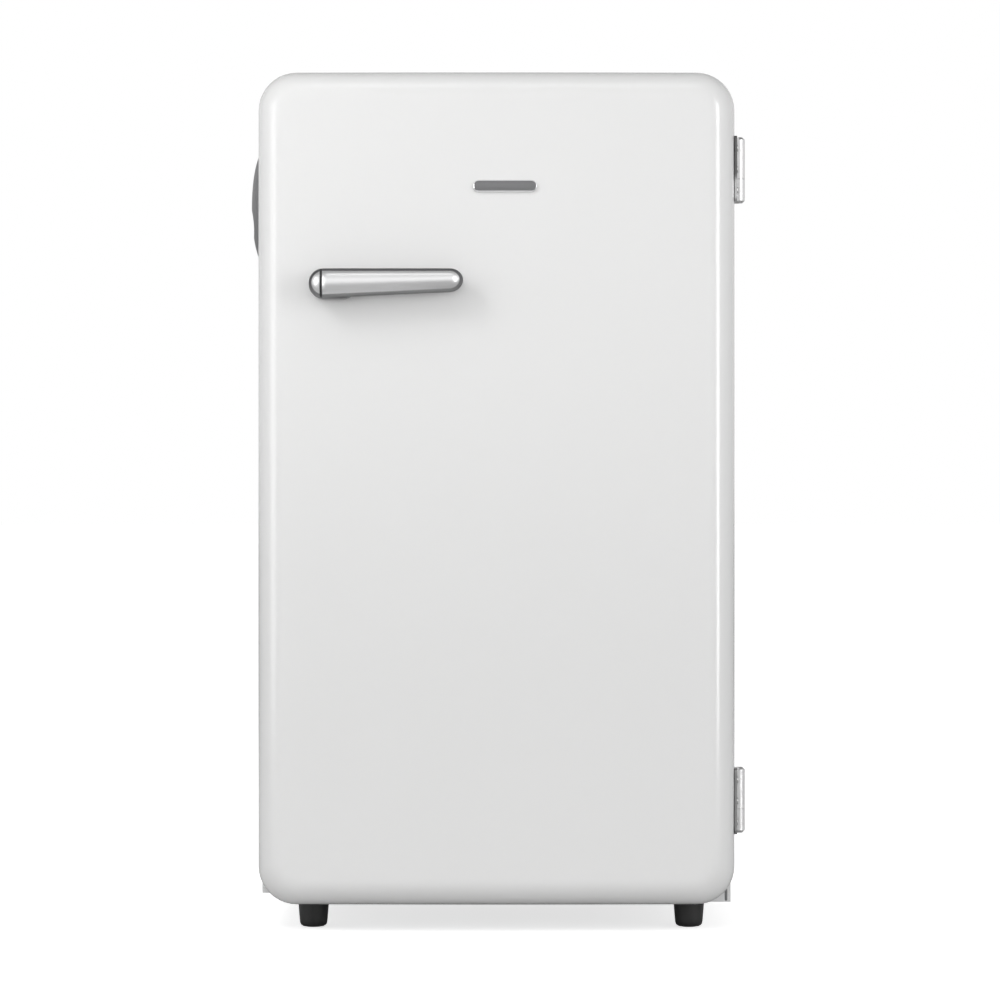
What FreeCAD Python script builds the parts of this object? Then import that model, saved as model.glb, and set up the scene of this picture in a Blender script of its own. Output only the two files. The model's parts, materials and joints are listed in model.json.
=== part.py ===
"""Mini fridge: a table-height cabinet with a crowned, rounded door, as a parametric FreeCAD document.

Millimetres, +Z up, the front faces -Y, and the origin is on the floor under the middle of the object.
Every size sits in the spreadsheet; each sub-part is an object whose sizes are formulas of its cells.
"""
import math
import os
import re

import FreeCAD
import Part
import Sketcher

os.makedirs("parts", exist_ok=True)
doc = FreeCAD.newDocument("mini_fridge")
Vector = FreeCAD.Vector

SIZES = {
    # cabinet
    "cabinet_half": 235,
    "cabinet_low": 36,
    "cabinet_high": 854,
    "cabinet_front": -144,
    "cabinet_back": 218,
    "cabinet_corner": 38,
    "steel": 0.8,
    "flange": 18,
    "flange_corner": 20,
    "rail_high": 56,
    # food space and the recess behind it
    "cavity_half": 197,
    "cavity_low": 76,
    "cavity_high": 814,
    "cavity_back": 178,
    "cavity_round": 12,
    "hump_front": 58,
    "hump_high": 246,
    "liner_wall": 2,
    "recess_front": 88,
    "recess_high": 216,
    # door
    "door_half": 237.5,
    "door_low": 27,
    "door_high": 857,
    "door_back": -156,
    "door_face": -207,
    "door_corner": 38,
    "door_round": 26,
    "crown_across": 5160,
    "crown_down": 19306,
    "door_rim": 14,
    "door_liner_inset": 6,
    # ridges of the door liner and the racks between them
    "ridge_inner": 172,
    "ridge_outer": 188,
    "ridge_front": -122,
    "ridge_low": 90,
    "ridge_high": 680,
    "rack_half": 171.5,
    "rack_front": -60,
    "rack_wall": 2.5,
    "rack_lug": 6,
    # gasket
    "gasket_half": 231,
    "gasket_low": 40,
    "gasket_high": 850,
    "gasket_wide": 14,
    # hinges
    "hinge_axis_x": 243,
    "hinge_axis_y": -150,
    "hinge_tall": 66,
    "hinge_split": 24,
    "hinge_upper_at": 728,
    "hinge_lower_at": 97,
    "knuckle": 6,
    "pin": 3,
    "leaf_thick": 2.5,
    "leaf_long": 30,
    # handle and name plate
    "handle_left": -185.5,
    "handle_right": -33,
    "handle_high": 659.5,
    "handle_low": 630.2,
    "handle_tip": 11.6,
    "handle_front": -242,
    "handle_thick": 16,
    "handle_seam": -172.5,
    "badge_middle": 8.5,
    "badge_at": 742,
    # icebox, its flap and tray
    "icebox_left": -188,
    "icebox_right": 92,
    "icebox_low": 700,
    "icebox_high": 810,
    "icebox_front": -40,
    "icebox_back": 165,
    "icebox_wall": 1.5,
    "icebox_corner": 12,
    "flap_axis_y": -52,
    "flap_axis_z": 800,
    "tray_low": 664,
    "tray_high": 686,
    # shelves and crisper
    "shelf_level": 320,
    "shelf_pitch": 45,
    "shelf_half": 194,
    "glass": 4,
    "rib_deep": 10,
    "rib_tall": 5,
    "cover_at": 250,
    "bin_half": 186,
    "bin_low": 79,
    "bin_high": 243,
    # control box in the corner of the food space
    "control_left": 104,
    "control_right": 184,
    "control_low": 745,
    "control_front": -60,
    "control_back": 60,
    "knob_x": 144,
    "knob_z": 782,
    # machinery
    "service_x": -205,
    "drier_y": 190,
    "drier_low": 80,
    "drier_high": 150,
    "drier_radius": 10,
    "gland_hole": 4.5,
    "bolt_across": 58,
    "bolt_back": 44,
    "bolt": 3,
    "bush": 10,
    "suction_y": 93.5,
    "hot_x": 212,
    "rear_foot_x": 190,
    "rear_foot_y": 188,
    "rear_foot_radius": 17,
    "compressor_x": 60,
    "compressor_y": 153,
    "compressor_radius": 55,
    "compressor_low": 54,
    "compressor_high": 190,
    "condenser_y": 238,
    "condenser_reach": 170,
    "condenser_low": 262,
    "condenser_high": 798,
    "tube": 2.4,
    "wire": 0.8,
    # feet
    "foot_left_x": -184.5,
    "foot_right_x": 194,
    "foot_y": -119,
    "foot_radius": 15.5,
    "stud": 4,
    "running_fit": 0.06,
    "gap": 0.3,
    # bottle opener
    "opener_y": -74,
    "opener_z": 728,
    "opener_deep": 14,
    "opener_half": 30,
    "opener_tall": 59,
}

sheet = doc.addObject("Spreadsheet::Sheet", "Sizes")
for row, (alias, value) in enumerate(SIZES.items(), start=1):
    sheet.set(f"A{row}", alias)
    sheet.set(f"B{row}", str(value))
    sheet.setAlias(f"B{row}", alias)
doc.recompute()


def cell(alias):
    """The number in one cell, for the few shapes that Part's own functions make."""
    return float(sheet.get(alias))


def formula(text):
    """A FreeCAD expression from a plain one: 'door_half - 2' reads the door_half cell."""
    return re.sub(
        r"[a-z][a-z_]+", lambda word: f"Sizes.{word[0]}" if word[0] in SIZES else word[0], str(text)
    )


def bind(thing, **properties):
    """Bind properties to formulas; a double underscore stands for the dot of a nested property."""
    for name, text in properties.items():
        thing.setExpression(name.replace("__", "."), formula(text))
    return thing


def place(thing, x="0", y="0", z="0"):
    return bind(thing, Placement__Base__x=x, Placement__Base__y=y, Placement__Base__z=z)


# Basic shapes ------------------------------------------------------------------------------------

def block(name, x, y, z):
    """A box between two formulas on each axis."""
    box = doc.addObject("Part::Box", name)
    bind(box, Length=f"({x[1]}) - ({x[0]})", Width=f"({y[1]}) - ({y[0]})", Height=f"({z[1]}) - ({z[0]})")
    return place(box, x[0], y[0], z[0])


TURNS = {
    "X": FreeCAD.Rotation(Vector(0, 1, 0), 90),
    "Y": FreeCAD.Rotation(Vector(1, 0, 0), -90),
    "Z": FreeCAD.Rotation(),
}


def rod(name, axis, radius, x=None, y=None, z=None):
    """A cylinder along one axis: that axis has a pair of formulas, the other two have one each."""
    where = {"X": x, "Y": y, "Z": z}
    low, high = where[axis]
    start = {letter: (low if letter == axis else value) for letter, value in where.items()}
    cylinder = doc.addObject("Part::Cylinder", name)
    cylinder.Placement = FreeCAD.Placement(Vector(), TURNS[axis])
    bind(cylinder, Radius=radius, Height=f"({high}) - ({low})")
    return place(cylinder, start["X"], start["Y"], start["Z"])


def joined(name, parts):
    fuse = doc.addObject("Part::MultiFuse", name)
    fuse.Shapes = parts
    return fuse


def cut(name, base, tools):
    result = doc.addObject("Part::Cut", name)
    result.Base = base
    result.Tool = tools[0] if len(tools) == 1 else joined(f"{name}_tools", tools)
    return result


def shared(name, first, second):
    common = doc.addObject("Part::Common", name)
    common.Base = first
    common.Tool = second
    return common


# Bodies with sketches and fillets ----------------------------------------------------------------

SKETCH_START = {"XY_Plane": 1, "XZ_Plane": -1, "YZ_Plane": 1}


def prism(name, plane, corners, low, high):
    """A body: an outline of (across, up) formulas on one plane, padded between two places."""
    body = doc.addObject("PartDesign::Body", name)
    sketch = body.newObject("Sketcher::SketchObject", f"{name}_outline")
    origin = [feature for feature in body.Origin.OriginFeatures if feature.Role == plane]
    sketch.AttachmentSupport = [(origin[0], "")]
    sketch.MapMode = "FlatFace"
    start = low if SKETCH_START[plane] > 0 else f"-({high})"
    bind(sketch, AttachmentOffset__Base__z=start)
    count = len(corners)
    # a starting circle of points keeps the lines long until the formulas place them
    rough = [
        Vector(math.cos(2 * math.pi * i / count), math.sin(2 * math.pi * i / count), 0)
        for i in range(count)
    ]
    for i in range(count):
        sketch.addGeometry(Part.LineSegment(rough[i], rough[(i + 1) % count]))
    for i in range(count):
        sketch.addConstraint(Sketcher.Constraint("Coincident", i, 2, (i + 1) % count, 1))
    for i, (across, up) in enumerate(corners):
        for kind, text, value in (("DistanceX", across, rough[i].x), ("DistanceY", up, rough[i].y)):
            number = sketch.addConstraint(Sketcher.Constraint(kind, -1, 1, i, 1, value))
            sketch.setExpression(f"Constraints[{number}]", formula(text))
    pad = body.newObject("PartDesign::Pad", f"{name}_pad")
    pad.Profile = sketch
    bind(pad, Length=f"({high}) - ({low})")
    doc.recompute()
    return body


def box_outline(across, up):
    """The four corners of a rectangle between two pairs of formulas."""
    return [(across[0], up[0]), (across[1], up[0]), (across[1], up[1]), (across[0], up[1])]


def along(letter):
    """Keeps straight edges that run along one axis."""
    unit = {"X": Vector(1, 0, 0), "Y": Vector(0, 1, 0), "Z": Vector(0, 0, 1)}[letter]

    def keep(edge):
        return edge.Curve.TypeId == "Part::GeomLine" and abs(
            edge.tangentAt(edge.FirstParameter).dot(unit)
        ) > 0.999
    return keep


def level(letter, value):
    """Keeps edges that lie in the plane letter = value."""
    def keep(edge):
        box = edge.BoundBox
        low, high = {
            "X": (box.XMin, box.XMax), "Y": (box.YMin, box.YMax), "Z": (box.ZMin, box.ZMax)
        }[letter]
        return abs(low - value) < 0.01 and abs(high - value) < 0.01
    return keep


def both(*tests):
    return lambda edge: all(test(edge) for test in tests)


def either(*tests):
    return lambda edge: any(test(edge) for test in tests)


def softened(thing, radius, keep, kind="Fillet"):
    """Round (or chamfer) the edges that keep() accepts; anything but a body is put in one first."""
    if thing.TypeId == "PartDesign::Body":
        body = thing
    else:
        doc.recompute()
        body = doc.addObject("PartDesign::Body", f"{thing.Name}_soft")
        body.BaseFeature = thing
        bind(body, Placement=f"{thing.Name}.Placement")
    doc.recompute()
    last = body.Tip
    edges = [f"Edge{i}" for i, edge in enumerate(body.Shape.Edges, start=1) if keep(edge)]
    if not edges:
        raise ValueError(f"{thing.Name}: no edge to soften")
    feature = body.newObject(f"PartDesign::{kind}", f"{body.Name}_{kind}")
    feature.Base = (last, edges)
    bind(feature, **{"Size" if kind == "Chamfer" else "Radius": radius})
    doc.recompute()
    return body


def arch(name, half, low, high, back, front, corner):
    """An upright plate, square at the bottom and rounded at its two top corners, padded along Y."""
    plate = prism(name, "XZ_Plane", box_outline((f"-({half})", half), (low, high)), back, front)
    top = plate.Shape.BoundBox.ZMax
    upper = lambda edge: abs(edge.BoundBox.ZMax - top) < 0.01
    return softened(plate, corner, both(along("Y"), upper))


def tub(name, x, y, z, wall, corner, foot):
    """An open-topped box with rounded upright edges, a rounded underside and an even wall."""
    outside = block(f"{name}_outside", x, y, z)
    outside = softened(outside, corner, along("Z"))
    outside = softened(outside, foot, level("Z", outside.Shape.BoundBox.ZMin))
    inside = block(
        f"{name}_inside",
        (f"{x[0]} + {wall}", f"{x[1]} - {wall}"),
        (f"{y[0]} + {wall}", f"{y[1]} - {wall}"),
        (f"{z[0]} + {wall}", f"{z[1]} + 1"),
    )
    inside = softened(inside, f"{corner} - {wall}", along("Z"))
    inside = softened(inside, f"{foot} - {wall} / 2", level("Z", inside.Shape.BoundBox.ZMin))
    return cut(f"{name}_tub", outside, [inside])


NODES = []


def node(name, thing):
    """Name a finished sub-part; its label is the name of its file."""
    thing.Label = name
    NODES.append(thing)
    return thing


# Cabinet -----------------------------------------------------------------------------------------

def cavity(name, grow):
    """The food space with the compressor hump taken out of its lower back, grown by a wall."""
    corners = [
        ("cabinet_front - 1", f"cavity_low - {grow}"),
        (f"hump_front + {grow}", f"cavity_low - {grow}"),
        (f"hump_front + {grow}", f"hump_high - {grow}"),
        (f"cavity_back + {grow}", f"hump_high - {grow}"),
        (f"cavity_back + {grow}", f"cavity_high + {grow}"),
        ("cabinet_front - 1", f"cavity_high + {grow}"),
    ]
    space = prism(name, "YZ_Plane", corners, f"-cavity_half - {grow}", f"cavity_half + {grow}")
    mouth = level("Y", space.Shape.BoundBox.YMin)
    return softened(space, f"cavity_round + {grow}", lambda edge: not mouth(edge))


def cabinet_shell(screws, nuts, drain):
    """Steel wrapper, back, recess and bottom sheets, the plastic liner and the foam between them."""
    outside = arch("wrapper_outside", "cabinet_half", "cabinet_low", "cabinet_high",
                   "cabinet_front", "cabinet_back - 1", "cabinet_corner")
    inside = arch("wrapper_inside", "cabinet_half - steel", "cabinet_low - 1", "cabinet_high - steel",
                  "cabinet_front + steel", "cabinet_back", "cabinet_corner - steel")
    opening = arch("wrapper_opening", "cabinet_half - flange", "cabinet_low - 1", "cabinet_high - flange",
                   "cabinet_front - 1", "cabinet_front + 2", "flange_corner")
    node("outer_wrapper", cut("wrapper", outside, [inside, opening, *screws]))

    back = arch("back_sheet", "cabinet_half", "recess_high", "cabinet_high",
                "cabinet_back - 1", "cabinet_back", "cabinet_corner")
    node("back_panel", back)

    corners = [
        ("recess_front - 1", "cabinet_low + steel"),
        ("recess_front", "cabinet_low + steel"),
        ("recess_front", "recess_high"),
        ("cabinet_back - 1", "recess_high"),
        ("cabinet_back - 1", "recess_high + 1"),
        ("recess_front - 1", "recess_high + 1"),
    ]
    recess = prism("recess_sheet", "YZ_Plane", corners, "steel - cabinet_half", "cabinet_half - steel")
    node("recess_panel", cut("recess", recess, [drain]))

    corners = [
        ("cabinet_front", "cabinet_low"),
        ("recess_front", "cabinet_low"),
        ("recess_front", "cabinet_low + steel"),
        ("cabinet_front + steel", "cabinet_low + steel"),
        ("cabinet_front + steel", "rail_high"),
        ("cabinet_front", "rail_high"),
    ]
    bottom = prism("bottom_sheet", "YZ_Plane", corners, "flange - cabinet_half", "cabinet_half - flange")
    wings = [
        block(
            f"bottom_wing_{side}",
            pair,
            ("cabinet_front + steel", "recess_front"),
            ("cabinet_low", "cabinet_low + steel"),
        )
        for side, pair in (
            ("left", ("steel - cabinet_half", "flange - cabinet_half")),
            ("right", ("cabinet_half - flange", "cabinet_half - steel")),
        )
    ]
    node("bottom_panel", cut("bottom", joined("bottom_whole", [bottom, *wings]), nuts))

    space = cavity("cavity_inside", "0")
    liner_out = cavity("cavity_outside", "liner_wall")
    lip = arch("liner_lip", "cabinet_half - flange", "rail_high", "cabinet_high - flange",
               "cabinet_front", "cabinet_front + liner_wall", "flange_corner")
    trim = block("liner_trim", ("-300", "300"), ("cabinet_front - 5", "cabinet_front"), ("0", "900"))
    shell = cut("liner_shell", joined("liner_whole", [liner_out, lip]), [space, trim])
    ribs = []
    heights = [f"shelf_level + {step} * shelf_pitch - gap" for step in range(7)]
    for number, top in enumerate(heights + ["cover_at"]):
        front, back = ("-100", "160") if number < 7 else ("-50", "165")
        for side, pair in (("left", ("-cavity_half - 1", "rib_deep - cavity_half")),
                           ("right", ("cavity_half - rib_deep", "cavity_half + 1"))):
            ribs.append(block(f"rib_{number}_{side}", pair, (front, back), (f"{top} - rib_tall", top)))
    ribs_inside = shared("ribs_inside", joined("ribs_whole", ribs), liner_out)
    node("inner_liner", cut("liner", joined("liner_ribbed", [shell, ribs_inside]), [drain]))

    filling = arch("foam_outside", "cabinet_half - steel", "cabinet_low + steel", "cabinet_high - steel",
                   "cabinet_front + steel", "cabinet_back - 1", "cabinet_corner - steel")
    recess_space = block("recess_space", ("-300", "300"), ("recess_front - 1", "cabinet_back + 1"),
                         ("0", "recess_high + 1"))
    lip_space = block(
        "lip_space",
        ("flange - cabinet_half", "cabinet_half - flange"),
        ("cabinet_front - 1", "cabinet_front + liner_wall"),
        ("rail_high", "cabinet_high - flange"),
    )
    rail_space = block(
        "rail_space", ("-300", "300"), ("cabinet_front - 1", "cabinet_front + steel"), ("0", "900")
    )
    node(
        "cabinet_foam",
        cut("foam", filling, [liner_out, recess_space, lip_space, rail_space, drain, *nuts, *screws]),
    )


def floor_parts():
    """Corner bracket, levelling feet and their nuts; returns what the sheets make room for."""
    nuts = []
    sleeves = []
    for side, low in (("left", "cabinet_low"), ("right", "door_low")):
        middle = f"foot_{side}_x"
        sleeve = rod(f"nut_sleeve_{side}", "Z", "7", x=middle, y="foot_y", z=(low, "cabinet_low + 26"))
        bore = rod(f"nut_bore_{side}", "Z", "stud + running_fit", x=middle, y="foot_y", z=("0", "100"))
        parts = [sleeve]
        if side == "left":
            parts.append(
                rod("nut_collar", "Z", "foot_radius", x=middle, y="foot_y", z=("door_low", "cabinet_low"))
            )
            sleeve = joined("nut_left_whole", parts)
        nuts.append(cut(f"nut_{side}", sleeve, [bore]))
        sleeves.append(
            rod(
                f"nut_room_{side}", "Z", "7", x=middle, y="foot_y", z=("door_low - 1", "cabinet_low + 26")
            ),
        )

        pad = rod(f"foot_pad_{side}", "Z", "foot_radius", x=middle, y="foot_y", z=("0", "door_low - gap"))
        pad = softened(pad, "4", level("Z", 0))
        shaft = rod(
            f"foot_stud_{side}", "Z", "stud", x=middle, y="foot_y", z=("door_low - 3", "cabinet_low + 24")
        )
        node(f"foot_{side}", joined(f"foot_{side}_whole", [pad, shaft]))
    node("foot_nuts", joined("nuts", nuts))

    channel = block("bracket_outside", ("150", "cabinet_half"), ("cabinet_front", "cabinet_front + 54"),
                    ("door_low", "cabinet_low"))
    hollow = block(
        "bracket_hollow",
        ("149", "cabinet_half + 1"),
        ("cabinet_front + 2.5", "cabinet_front + 55"),
        ("door_low + 2.5", "cabinet_low - 2.5"),
    )
    node("corner_bracket", cut("bracket", channel, [hollow, sleeves[1]]))
    return sleeves


def machinery(drain):
    """Base plate, compressor, condenser and the other parts in the recess and on the back."""
    floor_thick = "1.5"
    plate = block(
        "plate_outside",
        ("steel - cabinet_half", "cabinet_half - steel"),
        ("recess_front", "cabinet_back - 2"),
        ("cabinet_low", "cabinet_low + 30"),
    )
    hollow = block(
        "plate_hollow",
        (f"steel - cabinet_half + {floor_thick}", f"cabinet_half - steel - {floor_thick}"),
        ("recess_front - 1", f"cabinet_back - 2 - {floor_thick}"),
        (f"cabinet_low + {floor_thick}", "cabinet_low + 31"),
    )
    gland_room = rod(
        "gland_room",
        "Y",
        "9",
        x="service_x",
        y=("cabinet_back - 5", "cabinet_back"),
        z="cabinet_low + 16",
    )
    shanks = []
    heads = []
    bushes = []
    for number, (side, depth) in enumerate(((-1, -1), (1, -1), (-1, 1), (1, 1))):
        middle_x = f"compressor_x + {side} * bolt_across"
        middle_y = f"compressor_y + {depth} * bolt_back"
        shanks.append(
            rod(
                f"bolt_shank_{number}",
                "Z",
                "bolt",
                x=middle_x,
                y=middle_y,
                z=("cabinet_low - 5", "compressor_low"),
            ),
        )
        heads.append(
            rod(
                f"bolt_head_{number}",
                "Z",
                "2 * bolt",
                x=middle_x,
                y=middle_y,
                z=("compressor_low", "compressor_low + 4"),
            ),
        )
        heads.append(
            rod(
                f"bolt_nut_{number}",
                "Z",
                "5.5",
                x=middle_x,
                y=middle_y,
                z=("cabinet_low - 5", "cabinet_low"),
            ),
        )
        low, high = f"cabinet_low + {floor_thick}", "compressor_low - 2.5"
        bush = rod(f"bush_{number}", "Z", "bush", x=middle_x, y=middle_y, z=(low, high))
        ends = either(level("Z", cell("cabinet_low") + 1.5), level("Z", cell("compressor_low") - 2.5))
        bush = softened(bush, "2", ends)
        bushes.append(bush)
    node("base_plate", cut("plate", plate, [hollow, gland_room, *shanks]))
    node("compressor_bolts", joined("bolts", shanks + heads))
    node("compressor_grommets", cut("bushes", joined("bushes_whole", bushes), shanks))
    legs = block(
        "legs_plate",
        ("compressor_x - 70", "compressor_x + 70"),
        ("compressor_y - 55", "compressor_y + 55"),
        ("compressor_low - 2.5", "compressor_low"),
    )
    node("compressor_legs", cut("legs", softened(legs, "14", along("Z")), shanks))

    pot = rod(
        "pot",
        "Z",
        "compressor_radius",
        x="compressor_x",
        y="compressor_y",
        z=("compressor_low", "compressor_high"),
    )
    pot = softened(
        pot, "26", either(level("Z", cell("compressor_low")), level("Z", cell("compressor_high")))
    )
    seam = rod("pot_seam", "Z", "compressor_radius + 2.5", x="compressor_x", y="compressor_y",
               z=("compressor_low + 74", "compressor_low + 80"))
    stub = rod("pot_stub", "Y", "3", x="compressor_x - 20", y=("compressor_y + 40", "compressor_y + 62"),
               z="compressor_low + 60")
    node("compressor_shell", joined("compressor", [pot, seam, stub]))
    cover = block(
        "cover_block",
        ("compressor_x - compressor_radius - 27", "compressor_x - 40"),
        ("compressor_y - 26", "compressor_y + 26"),
        ("compressor_low + 15", "compressor_low + 70"),
    )
    cover = softened(cover, "4", either(along("X"), level("X", -22)))
    room = rod("cover_room", "Z", "compressor_radius", x="compressor_x", y="compressor_y", z=("0", "200"))
    node("terminal_cover", cut("cover", cover, [room]))
    node(
        "evaporation_pan",
        tub(
            "pan",
            ("0", "120"),
            ("100", "204"),
            ("compressor_high", "compressor_high + 17"),
            "1.5",
            "12",
            "5",
        ),
    )
    tube_bore = rod("drain_bore", "Z", "4", x="compressor_x", y="compressor_y", z=("190", "260"))
    node("drain_tube", cut("drain_pipe", drain, [tube_bore]))
    gland = rod(
        "gland_neck",
        "Y",
        "9",
        x="service_x",
        y=("cabinet_back - 4", "cabinet_back"),
        z="cabinet_low + 16",
    )
    collar = rod(
        "gland_collar",
        "Y",
        "12",
        x="service_x",
        y=("cabinet_back - 2", "cabinet_back + 2"),
        z="cabinet_low + 16",
    )
    bore = rod(
        "gland_bore",
        "Y",
        "gland_hole",
        x="service_x",
        y=("cabinet_back - 9", "cabinet_back + 3"),
        z="cabinet_low + 16",
    )
    node("cord_gland", cut("gland", joined("gland_whole", [gland, collar]), [bore]))
    feet = []
    for side, where in (("left", "-rear_foot_x"), ("right", "rear_foot_x")):
        foot = rod(
            f"rear_foot_{side}", "Z", "rear_foot_radius", x=where, y="rear_foot_y", z=("0", "cabinet_low")
        )
        feet.append(softened(foot, "3", level("Z", 0)))
    node("rear_feet", joined("rear_feet_pair", feet))
    condenser()


def bent_tube(points, radius, bend):
    """A round bar along straight runs joined by tangent arcs of one bend radius."""
    edges = []
    start = points[0]
    for before, corner, after in zip(points, points[1:], points[2:]):
        arriving = (corner - before).normalize()
        leaving = (after - corner).normalize()
        half_turn = arriving.getAngle(leaving) / 2
        reach = bend * math.tan(half_turn)
        first = corner - arriving * reach
        last = corner + leaving * reach
        inward = (leaving - arriving).normalize()
        middle = corner + inward * (bend / math.cos(half_turn) - bend)
        edges.append(Part.LineSegment(start, first).toShape())
        edges.append(Part.Arc(first, middle, last).toShape())
        start = last
    edges.append(Part.LineSegment(start, points[-1]).toShape())
    path = Part.Wire(edges)
    ring = Part.Wire(Part.makeCircle(radius, points[0], points[1] - points[0]))
    return path.makePipeShell([ring], True, True)


def feature(name, shape):
    """A sub-part whose shape comes from Part's own functions."""
    thing = doc.addObject("Part::Feature", name)
    thing.Shape = shape
    thing.Placement = FreeCAD.Placement()
    return thing


def condenser():
    """Tube in eleven runs with upright wires on both sides, its stand-offs, drier and joining lines."""
    depth = cell("condenser_y")
    reach = cell("condenser_reach")
    low = cell("condenser_low")
    high = cell("condenser_high")
    tube = cell("tube")
    runs = 11
    pitch = (high - low) / (runs - 1)
    edges = []
    for run in range(runs):
        side = 1 if run % 2 else -1
        height = low + run * pitch
        near = Vector(side * reach, depth, height)
        far = Vector(-side * reach, depth, height)
        edges.append(Part.LineSegment(near, far).toShape())
        if run < runs - 1:
            bulge = Vector(-side * (reach + pitch / 2), depth, height + pitch / 2)
            edges.append(Part.Arc(far, bulge, far + Vector(0, 0, pitch)).toShape())
    ring = Part.Wire(Part.makeCircle(tube, Vector(-reach, depth, low), Vector(1, 0, 0)))
    node("condenser_tube", feature("condenser", Part.Wire(edges).makePipeShell([ring], True, True)))

    wire = cell("wire")
    spread = 12
    wires = []
    for number in range(-13, 14):
        for offset in (-(tube + wire), tube + wire):
            foot = Vector(number * spread, depth + offset, low - 8)
            wires.append(Part.makeCylinder(wire, high - low + 16, foot))
    node("condenser_wires", feature("wires", Part.makeCompound(wires)))

    blocks = []
    for side in ("-1", "1"):
        for run in (1, 9):
            middle = f"{side} * (condenser_reach + 4)"
            height = f"condenser_low + {run} * (condenser_high - condenser_low) / 10"
            blocks.append(
                block(
                    f"standoff_{run}_{'left' if side == '-1' else 'right'}",
                    (f"{middle} - 5", f"{middle} + 5"),
                    ("cabinet_back", "condenser_y - tube - 0.2"),
                    (f"{height} - 8", f"{height} + 8"),
                ),
            )
    node("condenser_standoffs", joined("standoffs", blocks))

    cylinder = rod(
        "drier_body", "Z", "drier_radius", x="service_x", y="drier_y", z=("drier_low", "drier_high")
    )
    ends = [rod("drier_top", "Z", "4", x="service_x", y="drier_y", z=("drier_high - 1", "drier_high + 12")),
            rod("drier_foot", "Z", "3", x="service_x", y="drier_y", z=("drier_low - 14", "drier_low + 1"))]
    cylinder = softened(
        cylinder, "5", either(level("Z", cell("drier_low")), level("Z", cell("drier_high")))
    )
    node("filter_drier", joined("drier", [cylinder, *ends]))

    service = cell("service_x")
    drier = cell("drier_y")
    suction = cell("suction_y")
    hot_x = cell("hot_x")
    pot_x = cell("compressor_x")
    pot_y = cell("compressor_y")
    radius = cell("compressor_radius")
    hot = [Vector(pot_x + radius, pot_y, 160), Vector(hot_x, pot_y, 160), Vector(hot_x, depth, 160),
           Vector(hot_x, depth, high), Vector(reach, depth, high)]
    cool = [Vector(-reach, depth, low), Vector(service, depth, low), Vector(service, depth, 186),
            Vector(service, drier, 186), Vector(service, drier, 162)]
    back = [Vector(pot_x, pot_y - radius, 110), Vector(pot_x, suction, 110), Vector(-40, suction, 110),
            Vector(-40, suction, cell("recess_high"))]
    lines = [bent_tube(hot, tube, 14), bent_tube(cool, tube, 11), bent_tube(back, 3, 4.4)]
    node("refrigerant_lines", feature("lines", Part.makeCompound(lines)))


# Inside the food space ---------------------------------------------------------------------------

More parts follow.
